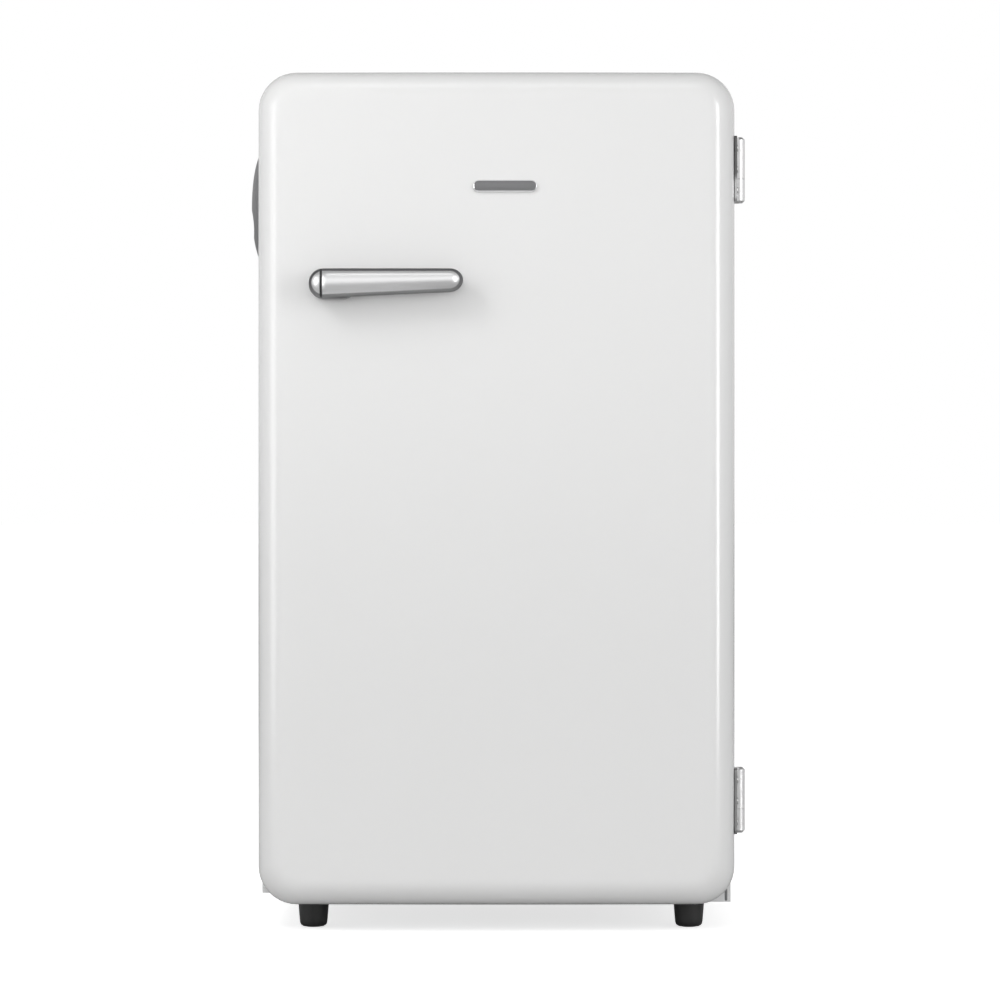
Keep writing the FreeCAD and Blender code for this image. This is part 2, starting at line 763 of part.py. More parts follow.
def icebox():
    """Aluminium box in the upper left of the food space, its front frame, flap, tray and rails."""
    side = ("icebox_left", "icebox_right")
    outer = softened(
        block("icebox_outer", side, ("icebox_front", "icebox_back"), ("icebox_low", "icebox_high")),
        "icebox_corner",
        along("Y"),
    )
    inner = block("icebox_inner", ("icebox_left + icebox_wall", "icebox_right - icebox_wall"),
                  ("icebox_front - 1", "icebox_back - icebox_wall"),
                  ("icebox_low + icebox_wall", "icebox_high - icebox_wall"))
    inner = softened(inner, "icebox_corner - icebox_wall", along("Y"))
    hangers = [
        block(f"hanger_{x}_{y}".replace("-", "m"), (f"{x}", f"{x} + 16"), (f"{y}", f"{y} + 16"),
              ("icebox_high - icebox_wall", "cavity_high"))
        for x in (-160, 50) for y in (-20, 130)
    ]
    node("icebox", joined("icebox_whole", [cut("icebox_shell", outer, [inner]), *hangers]))

    border = "12"
    frame = block(
        "frame_outer",
        ("icebox_left - 2", "icebox_right + 2"),
        ("icebox_front - 8", "icebox_front"),
        ("icebox_low - 2", "icebox_high + 2"),
    )
    frame = softened(frame, "6", along("Y"))
    window = block(
        "frame_window",
        (f"icebox_left + {border}", f"icebox_right - {border}"),
        ("icebox_front - 9", "icebox_front + 1"),
        (f"icebox_low + {border}", f"icebox_high - {border}"),
    )
    window = softened(window, "6", along("Y"))
    ears = [
        block(
            f"ear_{name}",
            pair,
            ("flap_axis_y - 5", "icebox_front - 7"),
            ("flap_axis_z - 6", "flap_axis_z + 6"),
        )
        for name, pair in (
            ("left", ("icebox_left - 2", "icebox_left + 1.5")),
            ("right", ("icebox_right - 1.5", "icebox_right + 2")),
        )
    ]
    holes = rod(
        "ear_holes",
        "X",
        "2 + running_fit",
        x=("icebox_left - 3", "icebox_right + 3"),
        y="flap_axis_y",
        z="flap_axis_z",
    )
    node("icebox_frame", cut("frame", joined("frame_whole", [frame, *ears]), [window, holes]))

    panel = block(
        "flap_panel",
        ("icebox_left + 2", "icebox_right - 2"),
        ("flap_axis_y - 3.5", "flap_axis_y + 2"),
        ("icebox_low + 2", "flap_axis_z"),
    )
    panel = softened(panel, "5", both(along("Y"), lambda edge: edge.BoundBox.ZMin < 710))
    barrel = rod(
        "flap_barrel",
        "X",
        "3.5",
        x=("icebox_left + 2", "icebox_right - 2"),
        y="flap_axis_y",
        z="flap_axis_z",
    )
    pins = rod(
        "flap_pins",
        "X",
        "2",
        x=("icebox_left - 1.5", "icebox_right + 1.5"),
        y="flap_axis_y",
        z="flap_axis_z",
    )
    pull = softened(
        block(
            "flap_pull",
            ("-98", "2"),
            ("flap_axis_y - 10", "flap_axis_y - 3"),
            ("icebox_low + 4", "icebox_low + 12"),
        ),
        "2.5",
        along("X"),
    )
    node("icebox_flap", joined("flap", [panel, barrel, pins, pull]))

    box = tub(
        "drip",
        ("icebox_left + 7", "icebox_right - 7"),
        ("icebox_front - 4", "150"),
        ("tray_low", "tray_high"),
        "1.5",
        "8",
        "4",
    )
    rim_outer = block(
        "drip_rim_outer",
        ("icebox_left + 1.5", "icebox_right - 1.5"),
        ("icebox_front - 4", "150"),
        ("tray_high - 2", "tray_high"),
    )
    rim_room = block("drip_rim_room", ("icebox_left + 8", "icebox_right - 8"), ("icebox_front - 2", "148"),
                     ("tray_high - 3", "tray_high + 1"))
    grip = softened(
        block(
            "drip_grip",
            ("-98", "2"),
            ("icebox_front - 9", "icebox_front - 3"),
            ("tray_high - 5", "tray_high"),
        ),
        "2",
        along("X"),
    )
    rim = cut("drip_rim", rim_outer, [rim_room])
    node("drip_tray", joined("drip_whole", [box, rim, grip]))

    rails = []
    for name, wall, shelf in (
        ("left", ("icebox_left - 2", "icebox_left + 1.2"), ("icebox_left - 2", "icebox_left + 6")),
        ("right", ("icebox_right - 1.2", "icebox_right + 2"), ("icebox_right - 6", "icebox_right + 2")),
    ):
        web = block(f"rail_web_{name}", wall, ("icebox_front", "155"), ("tray_high - 5", "icebox_low + 12"))
        foot = block(
            f"rail_foot_{name}", shelf, ("icebox_front", "155"), ("tray_high - 5", "tray_high - 2 - gap")
        )
        rails.append(joined(f"rail_{name}", [web, foot]))
    hollow = block("rail_hollow", side, ("icebox_front - 1", "icebox_back"), ("icebox_low", "icebox_high"))
    node("tray_rails", cut("rails", joined("rails_whole", rails), [hollow]))


def control():
    """Control box under the ceiling with the thermostat, its knob, the lamp and its lens."""
    box = softened(
        block(
            "control_outer",
            ("control_left", "control_right"),
            ("control_front", "control_back"),
            ("control_low", "cavity_high"),
        ),
        "6",
        either(along("Z"), level("Z", cell("control_low"))),
    )
    room = block(
        "control_room",
        ("control_left + 2", "control_right - 2"),
        ("control_front + 2", "control_back - 2"),
        ("control_low + 2", "cavity_high + 1"),
    )
    room = softened(room, "4", along("Z"))
    window = block("lamp_window", ("120", "168"), ("0", "48"), ("control_low - 1", "control_low + 3"))
    shaft_hole = rod(
        "shaft_hole", "Y", "3 + running_fit", x="knob_x", y=("control_front - 1", "-39"), z="knob_z"
    )
    node("control_box", cut("control_shell", box, [room, window, shaft_hole]))
    works = block(
        "works_block",
        ("knob_x - 22", "knob_x + 22"),
        ("control_front + 2", "-20"),
        ("knob_z - 20", "knob_z + 20"),
    )
    node("thermostat_body", cut("works", works, [shaft_hole]))

    disc = rod(
        "knob_disc", "Y", "18", x="knob_x", y=("control_front - 16", "control_front - 1"), z="knob_z"
    )
    disc = softened(disc, "3", level("Y", cell("control_front") - 16))
    ridge = block("knob_ridge", ("knob_x - 3", "knob_x + 3"), ("control_front - 21", "control_front - 15"),
                  ("knob_z - 15", "knob_z + 17"))
    ridge = softened(ridge, "2", level("Y", cell("control_front") - 21))
    shaft = rod("knob_shaft", "Y", "3", x="knob_x", y=("control_front - 2", "-41"), z="knob_z")
    node("thermostat_knob", joined("knob", [disc, ridge, shaft]))

    lens = softened(block("lens_outer", ("114", "174"), ("-6", "54"), ("control_low - 12", "control_low")),
                    "5", either(along("Z"), level("Z", cell("control_low") - 12)))
    lens_room = block("lens_room", ("116", "172"), ("-4", "52"), ("control_low - 10", "control_low + 1"))
    node("lamp_lens", cut("lens", lens, [lens_room]))
    bulb = softened(
        rod("bulb", "Y", "9", x="knob_x", y=("0", "34"), z="control_low + 18"), "8", level("Y", 0)
    )
    socket = rod("bulb_socket", "Y", "7", x="knob_x", y=("34", "control_back - 2"), z="control_low + 18")
    node("lamp", joined("lamp_whole", [bulb, socket]))


def shelves():
    """Two glass shelves in front trims, the cover glass and the crisper bin."""
    for name, step in (("lower", 2), ("upper", 5)):
        base = f"shelf_level + {step} * shelf_pitch"
        pane = block(
            f"pane_{name}", ("-shelf_half", "shelf_half"), ("-44", "165"), (base, f"{base} + glass")
        )
        pane = softened(pane, "10", along("Z"))
        trim = block(
            f"trim_{name}",
            ("rib_deep + 2 - cavity_half", "cavity_half - rib_deep - 2"),
            ("-54", "-36"),
            (f"{base} - 3", f"{base} + glass + 3"),
        )
        trim = softened(trim, "3", both(along("X"), lambda edge: edge.BoundBox.YMax < -50))
        node(f"shelf_{name}_glass", pane)
        node(f"shelf_{name}_trim", cut(f"trim_{name}_slotted", trim, [pane]))
    cover = block(
        "cover_pane", ("-shelf_half", "shelf_half"), ("-50", "165"), ("cover_at", "cover_at + glass")
    )
    node("crisper_cover", softened(cover, "10", along("Z")))
    bin_tub = tub(
        "bin",
        ("-bin_half", "bin_half"),
        ("-46", "hump_front - 4"),
        ("bin_low", "bin_high"),
        "2",
        "12",
        "10",
    )
    grip = block("bin_grip", ("-70", "70"), ("-54", "-45"), ("bin_high - 12", "bin_high"))
    grip = softened(grip, "3", along("X"))
    node("crisper_bin", joined("bin_whole", [bin_tub, grip]))


# Door --------------------------------------------------------------------------------------------

# each rack's floor and height
RACKS = {"top": ("590", "60"), "middle": ("450", "60"), "bottom": ("110", "90")}
LUG_DEPTH = ("-148", "-134")


def door_blank(name, inset):
    """The door's solid: rounded corners, a front crowned both ways and a large rounding round it."""
    outline = box_outline(
        (f"{inset} - door_half", f"door_half - {inset}"), (f"door_low + {inset}", f"door_high - {inset}")
    )
    slab = prism(f"{name}_slab", "XZ_Plane", outline, "door_face - 8", f"door_back - {inset}")
    slab = softened(slab, f"door_corner - {inset}", along("Y"))
    crown = doc.addObject("Part::Torus", f"{name}_crown")
    crown.Placement = FreeCAD.Placement(Vector(), TURNS["X"])
    bind(crown, Radius1="crown_down - crown_across", Radius2=f"crown_across - {inset}")
    place(crown, "0", "door_face + crown_down", "(door_low + door_high) / 2")
    front = shared(f"{name}_front", slab, crown)
    return softened(
        front, f"door_round - {inset}", lambda edge: edge.BoundBox.YMax < cell("door_back") - 10
    )


def ridge(name, sign, inset):
    """One upright ridge of the door liner, or the foam inside it."""
    low, high = f"ridge_inner + {inset}", f"ridge_outer - {inset}"
    across = (low, high) if sign > 0 else (f"-({high})", f"-({low})")
    bar = block(
        name,
        across,
        ("door_back", f"ridge_front - {inset}"),
        (f"ridge_low + {inset}", f"ridge_high - {inset}"),
    )
    return softened(bar, f"6 - {inset}", level("Y", cell("ridge_front") - float(inset)))


def door(handle_screws, hinge_screws):
    """Steel skin, foam, liner with its two ridges, and the gasket."""
    outer = door_blank("door_outer", "0")
    inner = door_blank("door_inner", "steel")
    rim = box_outline(
        ("door_rim - door_half", "door_half - door_rim"), ("door_low + door_rim", "door_high - door_rim")
    )
    mouth = softened(
        prism("rim_opening", "XZ_Plane", rim, "door_back - steel", "door_back"), "24", along("Y")
    )
    node("door_skin", cut("skin", outer, [inner, mouth, handle_screws, hinge_screws]))

    ridges_out = [ridge("ridge_left", -1, "0"), ridge("ridge_right", 1, "0")]
    ridges_in = [ridge("ridge_foam_left", -1, "2"), ridge("ridge_foam_right", 1, "2")]
    node("door_foam", cut("door_filling", joined("door_foam_whole", [inner, mouth, *ridges_in]),
                          [handle_screws, hinge_screws]))
    plate = box_outline(("door_liner_inset - door_half", "door_half - door_liner_inset"),
                        ("door_low + door_liner_inset", "door_high - door_liner_inset"))
    plate = softened(prism("door_plate", "XZ_Plane", plate, "door_back", "door_back + 2"), "32", along("Y"))
    lugs = []
    for number, (low, _) in enumerate(RACKS.values()):
        for side in (-1, 1):
            across = (f"{side} * (ridge_inner + 1)", f"{side} * (ridge_inner - rack_lug)")
            lugs.append(block(f"lug_{number}_{side + 1}", across if side < 0 else across[::-1],
                              LUG_DEPTH, (f"{low} + 8", f"{low} + 22")))
    liner = cut("door_liner_hollow", joined("door_liner_whole", [plate, *ridges_out]), ridges_in)
    node("door_liner", joined("door_liner_lugged", [liner, *lugs]))

    low, high = "door_back + 2", "cabinet_front - gap"
    outside = softened(
        prism(
            "gasket_outside",
            "XZ_Plane",
            box_outline(("-gasket_half", "gasket_half"), ("gasket_low", "gasket_high")),
            low,
            high,
        ),
        "34",
        along("Y"),
    )
    inside = softened(
        prism(
            "gasket_inside",
            "XZ_Plane",
            box_outline(
                ("gasket_wide - gasket_half", "gasket_half - gasket_wide"),
                ("gasket_low + gasket_wide", "gasket_high - gasket_wide"),
            ),
            f"{low} - 1",
            f"{high} + 1",
        ),
        "20",
        along("Y"),
    )
    ring = cut("gasket_ring", outside, [inside])
    waist_out = softened(
        prism(
            "waist_outside",
            "XZ_Plane",
            box_outline(("-gasket_half - 9", "gasket_half + 9"), ("gasket_low - 10", "gasket_high + 10")),
            "-151",
            "-148",
        ),
        "36",
        along("Y"),
    )
    waist_in = softened(
        prism(
            "waist_inside",
            "XZ_Plane",
            box_outline(("3 - gasket_half", "gasket_half - 3"), ("gasket_low + 3", "gasket_high - 3")),
            "-152",
            "-147",
        ),
        "31",
        along("Y"),
    )
    node("door_gasket", cut("gasket", ring, [cut("gasket_waist", waist_out, [waist_in])]))
    return outer


def racks():
    """Three door racks: open tubs with slots at both ends that drop over the liner's lugs."""
    for name, (low, tall) in RACKS.items():
        box = tub(f"rack_{name}", ("-rack_half", "rack_half"), ("door_back + 2 + gap", "rack_front"),
                  (low, f"{low} + {tall}"), "rack_wall", "8", "6")
        slots = [block(f"rack_slot_{name}_{side}", pair, (f"{LUG_DEPTH[0]} - gap", f"{LUG_DEPTH[1]} + gap"),
                       (f"{low} - 1", f"{low} + 22 + gap"))
                 for side, pair in (("left", ("-rack_half - 1", "rack_lug + gap - ridge_inner")),
                                    ("right", ("ridge_inner - rack_lug - gap", "rack_half + 1")))]
        node(f"rack_{name}", cut(f"rack_{name}_slotted", box, slots))


# Hinges, handle, name plate and opener -----------------------------------------------------------

LEAF_SCREWS_AT = (12, 33, 54)


def leaf_screws(name, wall, deep, depth, low):
    """Three screws through a hinge leaf: their shanks, and their heads on the leaf's face."""
    shanks = []
    heads = []
    for number, at in enumerate(LEAF_SCREWS_AT):
        height = f"{low} + {at}"
        shanks.append(
            rod(
                f"{name}_screw_{number}",
                "X",
                "2",
                x=(f"{wall} - {deep}", f"{wall} + leaf_thick + 0.5"),
                y=depth,
                z=height,
            ),
        )
        heads.append(
            rod(
                f"{name}_head_{number}",
                "X",
                "3.6",
                x=(f"{wall} + leaf_thick", f"{wall} + leaf_thick + 1.4"),
                y=depth,
                z=height,
            ),
        )
    return shanks, heads


def hinges():
    """Two lift-off barrel hinges on the right side: lower knuckle on the cabinet, upper on the door."""
    cabinet_leaves = []
    door_leaves = []
    pins = []
    cabinet_screws = []
    door_screws = []
    for name in ("upper", "lower"):
        low = f"hinge_{name}_at"
        high = f"{low} + hinge_tall"
        split = f"{low} + hinge_split"
        leaf = block(f"{name}_leaf_cabinet", ("cabinet_half", "cabinet_half + leaf_thick"),
                     ("cabinet_front", "cabinet_front + leaf_long"), (low, high))
        leaf = softened(leaf, "4", both(along("X"), lambda edge: edge.BoundBox.YMin > -130))
        barrel = rod(
            f"{name}_knuckle_cabinet", "Z", "knuckle", x="hinge_axis_x", y="hinge_axis_y", z=(low, split)
        )
        barrel = softened(barrel, "2.5", level("Z", cell(low)), "Chamfer")
        web = block(
            f"{name}_web_cabinet",
            ("cabinet_half", "hinge_axis_x"),
            ("cabinet_front - 2.5", "cabinet_front"),
            (low, split),
        )
        whole = joined(f"{name}_cabinet_leaf", [leaf, web, barrel])
        pin = rod(
            f"{name}_pin", "Z", "pin", x="hinge_axis_x", y="hinge_axis_y", z=(f"{low} + 3", f"{high} - 6")
        )
        pins.append(pin)
        screws, heads = leaf_screws(f"{name}_side", "cabinet_half", "14", "cabinet_front + 19", low)
        cabinet_screws += screws + heads
        cabinet_leaves.append(cut(f"{name}_cabinet_leaf_bored", whole, [pin, *screws]))

        leaf = block(f"{name}_leaf_door", ("door_half", "door_half + leaf_thick"),
                     ("door_back - 23", "door_back"), (low, high))
        leaf = softened(leaf, "4", both(along("X"), lambda edge: edge.BoundBox.YMax < -170))
        barrel = rod(
            f"{name}_knuckle_door",
            "Z",
            "knuckle",
            x="hinge_axis_x",
            y="hinge_axis_y",
            z=(f"{split} + gap", high),
        )
        barrel = softened(barrel, "2.5", level("Z", cell(low) + cell("hinge_tall")), "Chamfer")
        web = block(f"{name}_web_door", ("door_half", "hinge_axis_x"), ("door_back", "door_back + 2.5"),
                    (f"{split} + gap", high))
        bore = rod(f"{name}_bore", "Z", "pin + running_fit", x="hinge_axis_x", y="hinge_axis_y",
                   z=(low, f"{high} - 5.5"))
        screws, heads = leaf_screws(f"{name}_door", "door_half", "12", "door_back - 13", low)
        door_screws += screws + heads
        whole = joined(f"{name}_door_leaf", [leaf, web, barrel])
        door_leaves.append(cut(f"{name}_door_leaf_bored", whole, [bore, *screws]))
    node("hinge_cabinet_leaves", joined("cabinet_leaves", cabinet_leaves))
    node("hinge_door_leaves", joined("door_leaves", door_leaves))
    node("hinge_pins", joined("pins", pins))
    side = node("hinge_cabinet_screws", joined("side_screws", cabinet_screws))
    return side, node("hinge_door_screws", joined("leaf_screws", door_screws))


def handle_screw_pair():
    """Two screws that hold the handle from inside the door."""
    parts = []
    for name, middle, height in (("left", "-160", "645"), ("right", "-46", "648")):
        parts.append(rod(f"handle_screw_{name}", "Y", "2.5", x=middle, y=("-222", "-198"), z=height))
        parts.append(rod(f"handle_screw_head_{name}", "Y", "4.5", x=middle, y=("-200", "-196"), z=height))
    return node("handle_screws", joined("handle_screw_set", parts))


def handle(door_solid, screws):
    """Chrome pull handle: base on the door, end cap, and a bar that tapers to a rounded tip."""
    middle = "(handle_high + handle_low) / 2"
    base = block("base_block", ("handle_left", "-138"), ("handle_front + handle_thick", "-190"),
                 ("handle_low - 0.5", "handle_high"))
    base = softened(base, "14.5", along("Y"))
    base = softened(base, "3", level("Y", cell("handle_front") + cell("handle_thick")))
    post = rod("handle_post", "Y", "8", x="-46", y=("handle_front + handle_thick", "-190"), z="648")
    whole = joined("base_whole", [base, post])
    node("handle_base", cut("base_fitted", whole, [door_solid, screws]))

    corners = [
        ("handle_seam", "handle_low"),
        ("handle_right - handle_tip / 2", "handle_high - 2 * handle_tip"),
        ("handle_right", "handle_high - 2 * handle_tip"),
        ("handle_right", "handle_high"),
        ("handle_seam", "handle_high"),
    ]
    bar = prism("bar_outline", "XZ_Plane", corners, "handle_front", "handle_front + handle_thick")
    tip = bar.Shape.BoundBox.XMax
    bar = softened(
        bar, "handle_tip - 0.5", both(along("Y"), lambda edge: abs(edge.BoundBox.XMax - tip) < 0.01)
    )
    bar = softened(bar, "6", both(level("Y", cell("handle_front")), lambda edge: edge.BoundBox.XMax > -170))
    node("handle_bar", bar)

    cap = rod(
        "cap_round",
        "Y",
        "(handle_high - handle_low) / 2",
        x="handle_left + (handle_high - handle_low) / 2",
        y=("handle_front + 0.5", "handle_front + handle_thick"),
        z=middle,
    )
    cap = softened(cap, "5", level("Y", cell("handle_front") + 0.5))
    room = block("cap_room", ("handle_seam - 1", "0"), ("-300", "0"), ("0", "900"))
    node("handle_cap", cut("cap", cap, [room]))


def badge(door_solid):
    """Plain name plate, flush on the crowned door."""
    plate = block("badge_block", ("badge_middle - 32", "badge_middle + 32"), ("door_face", "-190"),
                  ("badge_at - 6", "badge_at + 6"))
    plate = softened(plate, "5.5", along("Y"))
    node("badge", cut("badge_fitted", plate, [door_solid]))


def opener():
    """Bottle opener on the left side: a domed plate with a cap pocket and a tooth, and two screws."""
    dome = doc.addObject("Part::Ellipsoid", "opener_dome")
    bind(dome, Radius1="opener_tall", Radius2="opener_deep", Radius3="opener_half")
    place(dome, "-cabinet_half", "opener_y", "opener_z")
    outside = block("opener_side", ("-300", "-cabinet_half"), ("-150", "0"), ("600", "900"))
    solid = shared("opener_half_dome", dome, outside)
    pocket = rod(
        "opener_pocket", "X", "15", x=("-260", "-cabinet_half - 4"), y="opener_y", z="opener_z - 17"
    )
    tooth = block(
        "opener_tooth",
        ("-cabinet_half - 11", "-cabinet_half - 3"),
        ("opener_y - 8", "opener_y + 8"),
        ("opener_z - 9", "opener_z"),
    )
    shanks = []
    heads = []
    seats = []
    for name, height in (("top", "opener_z + 44"), ("low", "opener_z - 44")):
        shanks.append(rod(f"opener_shank_{name}", "X", "2", x=("-cabinet_half - 5", "14 - cabinet_half"),
                          y="opener_y", z=height))
        heads.append(rod(f"opener_head_{name}", "X", "4", x=("-cabinet_half - 7", "-cabinet_half - 5"),
                         y="opener_y", z=height))
        seats.append(
            rod(f"opener_seat_{name}", "X", "4", x=("-260", "-cabinet_half - 5"), y="opener_y", z=height)
        )
    body = joined("opener_whole", [cut("opener_pocketed", solid, [pocket]), tooth])
    node("opener_body", cut("opener_bored", body, [*seats, *shanks]))
    return node("opener_screws", joined("opener_screw_pair", shanks + heads))


# The whole model ---------------------------------------------------------------------------------

drain_tube = rod(
    "drain_pipe_outer",
    "Z",
    "6",
    x="compressor_x",
    y="compressor_y",
    z=("compressor_high + 7", "hump_high"),
)
side_screws, door_leaf_screws = hinges()
opener_screws = opener()
foot_rooms = floor_parts()
cabinet_shell([side_screws, opener_screws], foot_rooms, drain_tube)
machinery(drain_tube)
icebox()
control()
shelves()
grip_screws = handle_screw_pair()
door_solid = door(grip_screws, door_leaf_screws)
racks()
handle(door_solid, grip_screws)
badge(door_solid)
doc.recompute()

faults = [thing.Name for thing in doc.Objects if {"Invalid", "Error"} & set(thing.State)]
faults += [thing.Label for thing in NODES if thing.Shape.isNull() or not thing.Shape.isValid()]
if faults:
    raise SystemExit(f"not built: {', '.join(faults)}")
for thing in NODES:
    shape = thing.Shape
    box = shape.optimalBoundingBox(False)
    spans = "  ".join(f"{low:7.1f} {high:7.1f}" for low, high in (
        (box.XMin, box.XMax), (box.YMin, box.YMax), (box.ZMin, box.ZMax)))
    print(f"{thing.Label:24s} solids {len(shape.Solids):3d}  volume {shape.Volume / 1000:9.1f} cm3  {spans}")
    shape.exportStep(f"parts/{thing.Label}.step")
print(len(NODES), "sub-parts written")
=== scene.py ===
# %% [markdown]
# # A rounded mini fridge
# This lesson dresses a finished engineering model of a table-height fridge. The frame gives every part
# its size and place. Here each part gets the surface that the real one has, and the parts whose shape
# matters most to the eye, such as the crowned door and the chrome handle, are built again with a finer
# mesh.

# %% Load the frame
import json
import math

import bmesh
import bpy
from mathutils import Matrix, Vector
from mathutils.bvhtree import BVHTree


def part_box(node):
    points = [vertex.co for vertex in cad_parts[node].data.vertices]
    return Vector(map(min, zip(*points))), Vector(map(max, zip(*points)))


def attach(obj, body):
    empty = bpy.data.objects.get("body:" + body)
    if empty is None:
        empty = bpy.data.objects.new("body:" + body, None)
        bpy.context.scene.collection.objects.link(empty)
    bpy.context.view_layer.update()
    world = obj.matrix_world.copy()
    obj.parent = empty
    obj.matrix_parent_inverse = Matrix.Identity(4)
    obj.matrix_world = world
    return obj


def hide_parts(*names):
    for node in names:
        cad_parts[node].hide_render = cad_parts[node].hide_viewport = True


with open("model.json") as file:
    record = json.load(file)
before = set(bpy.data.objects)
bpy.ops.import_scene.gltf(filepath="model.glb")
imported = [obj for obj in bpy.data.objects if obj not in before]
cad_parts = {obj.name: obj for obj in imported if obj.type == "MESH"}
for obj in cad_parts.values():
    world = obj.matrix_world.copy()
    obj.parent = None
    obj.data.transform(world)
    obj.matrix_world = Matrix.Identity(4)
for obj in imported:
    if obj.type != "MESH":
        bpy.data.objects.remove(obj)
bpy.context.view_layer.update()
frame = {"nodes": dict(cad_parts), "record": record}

nodes = frame["nodes"]
scene = bpy.context.scene
mm = 0.001

# %% [markdown]
# ## Camera
# The object is seen square on, from about half its height, through a long lens. A long lens keeps upright
# edges parallel, which suits an appliance. Distances are counted from the plane of the door's outline.

# %% Place the camera
door_back_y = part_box("door_skin")[1].y
silhouette_y = door_back_y - 22 * mm
camera_shift, camera_distance, camera_height = 0.0035, 5.0, 0.439
camera_data = bpy.data.cameras.new("catalogue_camera")
camera_data.lens = 180.5
camera_data.sensor_width = 36
camera = bpy.data.objects.new("catalogue_camera", camera_data)
camera.location = (camera_shift, silhouette_y - camera_distance, camera_height)
camera.rotation_euler = (math.pi / 2, 0, 0)
scene.collection.objects.link(camera)
scene.camera = camera
print("camera at", tuple(round(value, 3) for value in camera.location))

# %% [markdown]
# ## Shader language
# A material is a small program. Wrapping a socket in a class with operators lets the program read like
# arithmetic: `0.1 + 0.05 * noise` adds the Math nodes itself. Every other node, in any tree, comes from
# one method, which sets the node's own settings first and its inputs after.

# %% Signals
class Signal:
    """A socket that understands arithmetic."""

    def __init__(self, socket):
        self.socket = socket

    def maths(self, operation, first, second):
        tree = self.socket.id_data
        node = tree.nodes.new("ShaderNodeMath")
        node.operation = operation
        for entry, value in zip(node.inputs, (first, second)):
            if isinstance(value, Signal):
                tree.links.new(value.socket, entry)
            else:
                entry.default_value = value
        return Signal(node.outputs[0])

    def __add__(self, other):
        return self.maths("ADD", self, other)

    def __radd__(self, other):
        return self.maths("ADD", other, self)

    def __sub__(self, other):
        return self.maths("SUBTRACT", self, other)

    def __mul__(self, other):
        return self.maths("MULTIPLY", self, other)

    def __rmul__(self, other):
        return self.maths("MULTIPLY", other, self)


print("signals understand + - and *")

# %% Networks and finishes
class Network:
    """A node tree under construction."""

    def __init__(self, tree):
        self.tree = tree
        tree.nodes.clear()

    def feed(self, node, values):
        """Set or link a node's inputs, by number or by name; an underscore in a name stands for a space."""
        for key, value in values.items():
            entry = node.inputs[key.replace("_", " ") if isinstance(key, str) else key]
            if isinstance(value, Signal):
                value = value.socket
            if isinstance(value, bpy.types.NodeSocket):
                self.tree.links.new(value, entry)
            else:
                entry.default_value = value

    def node(self, kind, settings=None, **values):
        """Add any node: its settings first, a ramp's stops among them, then its inputs."""
        node = self.tree.nodes.new(kind)
        for name, value in (settings or {}).items():
            if name == "stops":
                ramp = node.color_ramp
                while len(ramp.elements) < len(value):
                    ramp.elements.new(0.5)
                for element, (position, grey) in zip(ramp.elements, value):
                    element.position = position
                    element.color = (grey, grey, grey, 1)
            else:
                setattr(node, name, value)
        self.feed(node, values)
        return node

    def to_eye_or_light(self, seen, felt):
        """Show one shader to the camera and use the other for the light it sheds and sends back."""
        ray = self.node("ShaderNodeLightPath").outputs["Is Camera Ray"]
        chosen = self.node("ShaderNodeMixShader", Fac=ray)
        self.feed(chosen, {1: felt.outputs[0], 2: seen.outputs[0]})
        return chosen.outputs[0]


class Finish(Network):
    """One material under construction: a Principled shader and the nodes that feed it."""

    def __init__(self, name, **constants):
        self.material = bpy.data.materials.new(name)
        self.material.use_nodes = True
        super().__init__(self.material.node_tree)
        self.shader = self.node("ShaderNodeBsdfPrincipled", **constants)
        self.output = self.node("ShaderNodeOutputMaterial", Surface=self.shader.outputs[0])
        self.place = self.node("ShaderNodeTexCoord").outputs["Object"]

    def surface(self, **values):
        self.feed(self.shader, values)

    def noise(self, scale, detail=2.0, stretch=(1, 1, 1)):
        """Cloudy values round 0.5, in features per metre; a stretch below 1 draws them out."""
        mapped = self.node("ShaderNodeMapping", Vector=self.place, Scale=stretch)
        cloud = self.node("ShaderNodeTexNoise", Vector=mapped.outputs[0], Scale=scale, Detail=detail)
        return Signal(cloud.outputs["Fac"])

    def cells(self, scale, output="Distance"):
        """Cell pattern: the distance to the nearest cell's middle, or one random colour a cell."""
        return self.node("ShaderNodeTexVoronoi", Vector=self.place, Scale=scale).outputs[output]

    def along(self, axis, start, end):
        """How far along an axis a point lies: 0 at the start and 1 at the end, both in millimetres."""
        reached = Signal(self.node("ShaderNodeSeparateXYZ", Vector=self.place).outputs[axis])
        return (reached - start * mm) * (1 / ((end - start) * mm))

    def ramp(self, signal, *stops):
        """Remap a signal through (position, value) stops."""
        return Signal(self.node("ShaderNodeValToRGB", {"stops": stops}, Fac=signal).outputs[0])

    def mixed(self, amount, first, second):
        """A colour between two colours, each a triple or another node's socket."""
        node = self.node("ShaderNodeMix", {"data_type": "RGBA"})
        for entry, colour in ((6, first), (7, second)):
            self.feed(node, {entry: colour if isinstance(colour, bpy.types.NodeSocket) else (*colour, 1)})
        self.feed(node, {0: amount})
        return node.outputs[2]

    def bump(self, height, depth, strength=1.0):
        """Raise the surface by a height signal; depth is the real depth in metres."""
        relief = self.node("ShaderNodeBump", Strength=strength, Distance=depth, Height=height)
        self.surface(Normal=relief.outputs[0])


print("finishes can be mixed")

# %% [markdown]
# ## Studio lights
# White enamel shows nothing but the light round it, so the studio decides the look. A wide light behind
# the camera and a small near one, the key, fill the door; the key brightens mostly its upper left. A broad
# light on the left and a narrow one on the right draw the bright lines along the door's rounded edges, and
# one overhead draws the band along the top of the handle. Two lights behind the object keep its back
# readable. The lights that only fill don't show in the polished parts.

# %% Light the studio
scene.view_settings.view_transform = "Standard"
door_middle = (0, silhouette_y, 0.45)


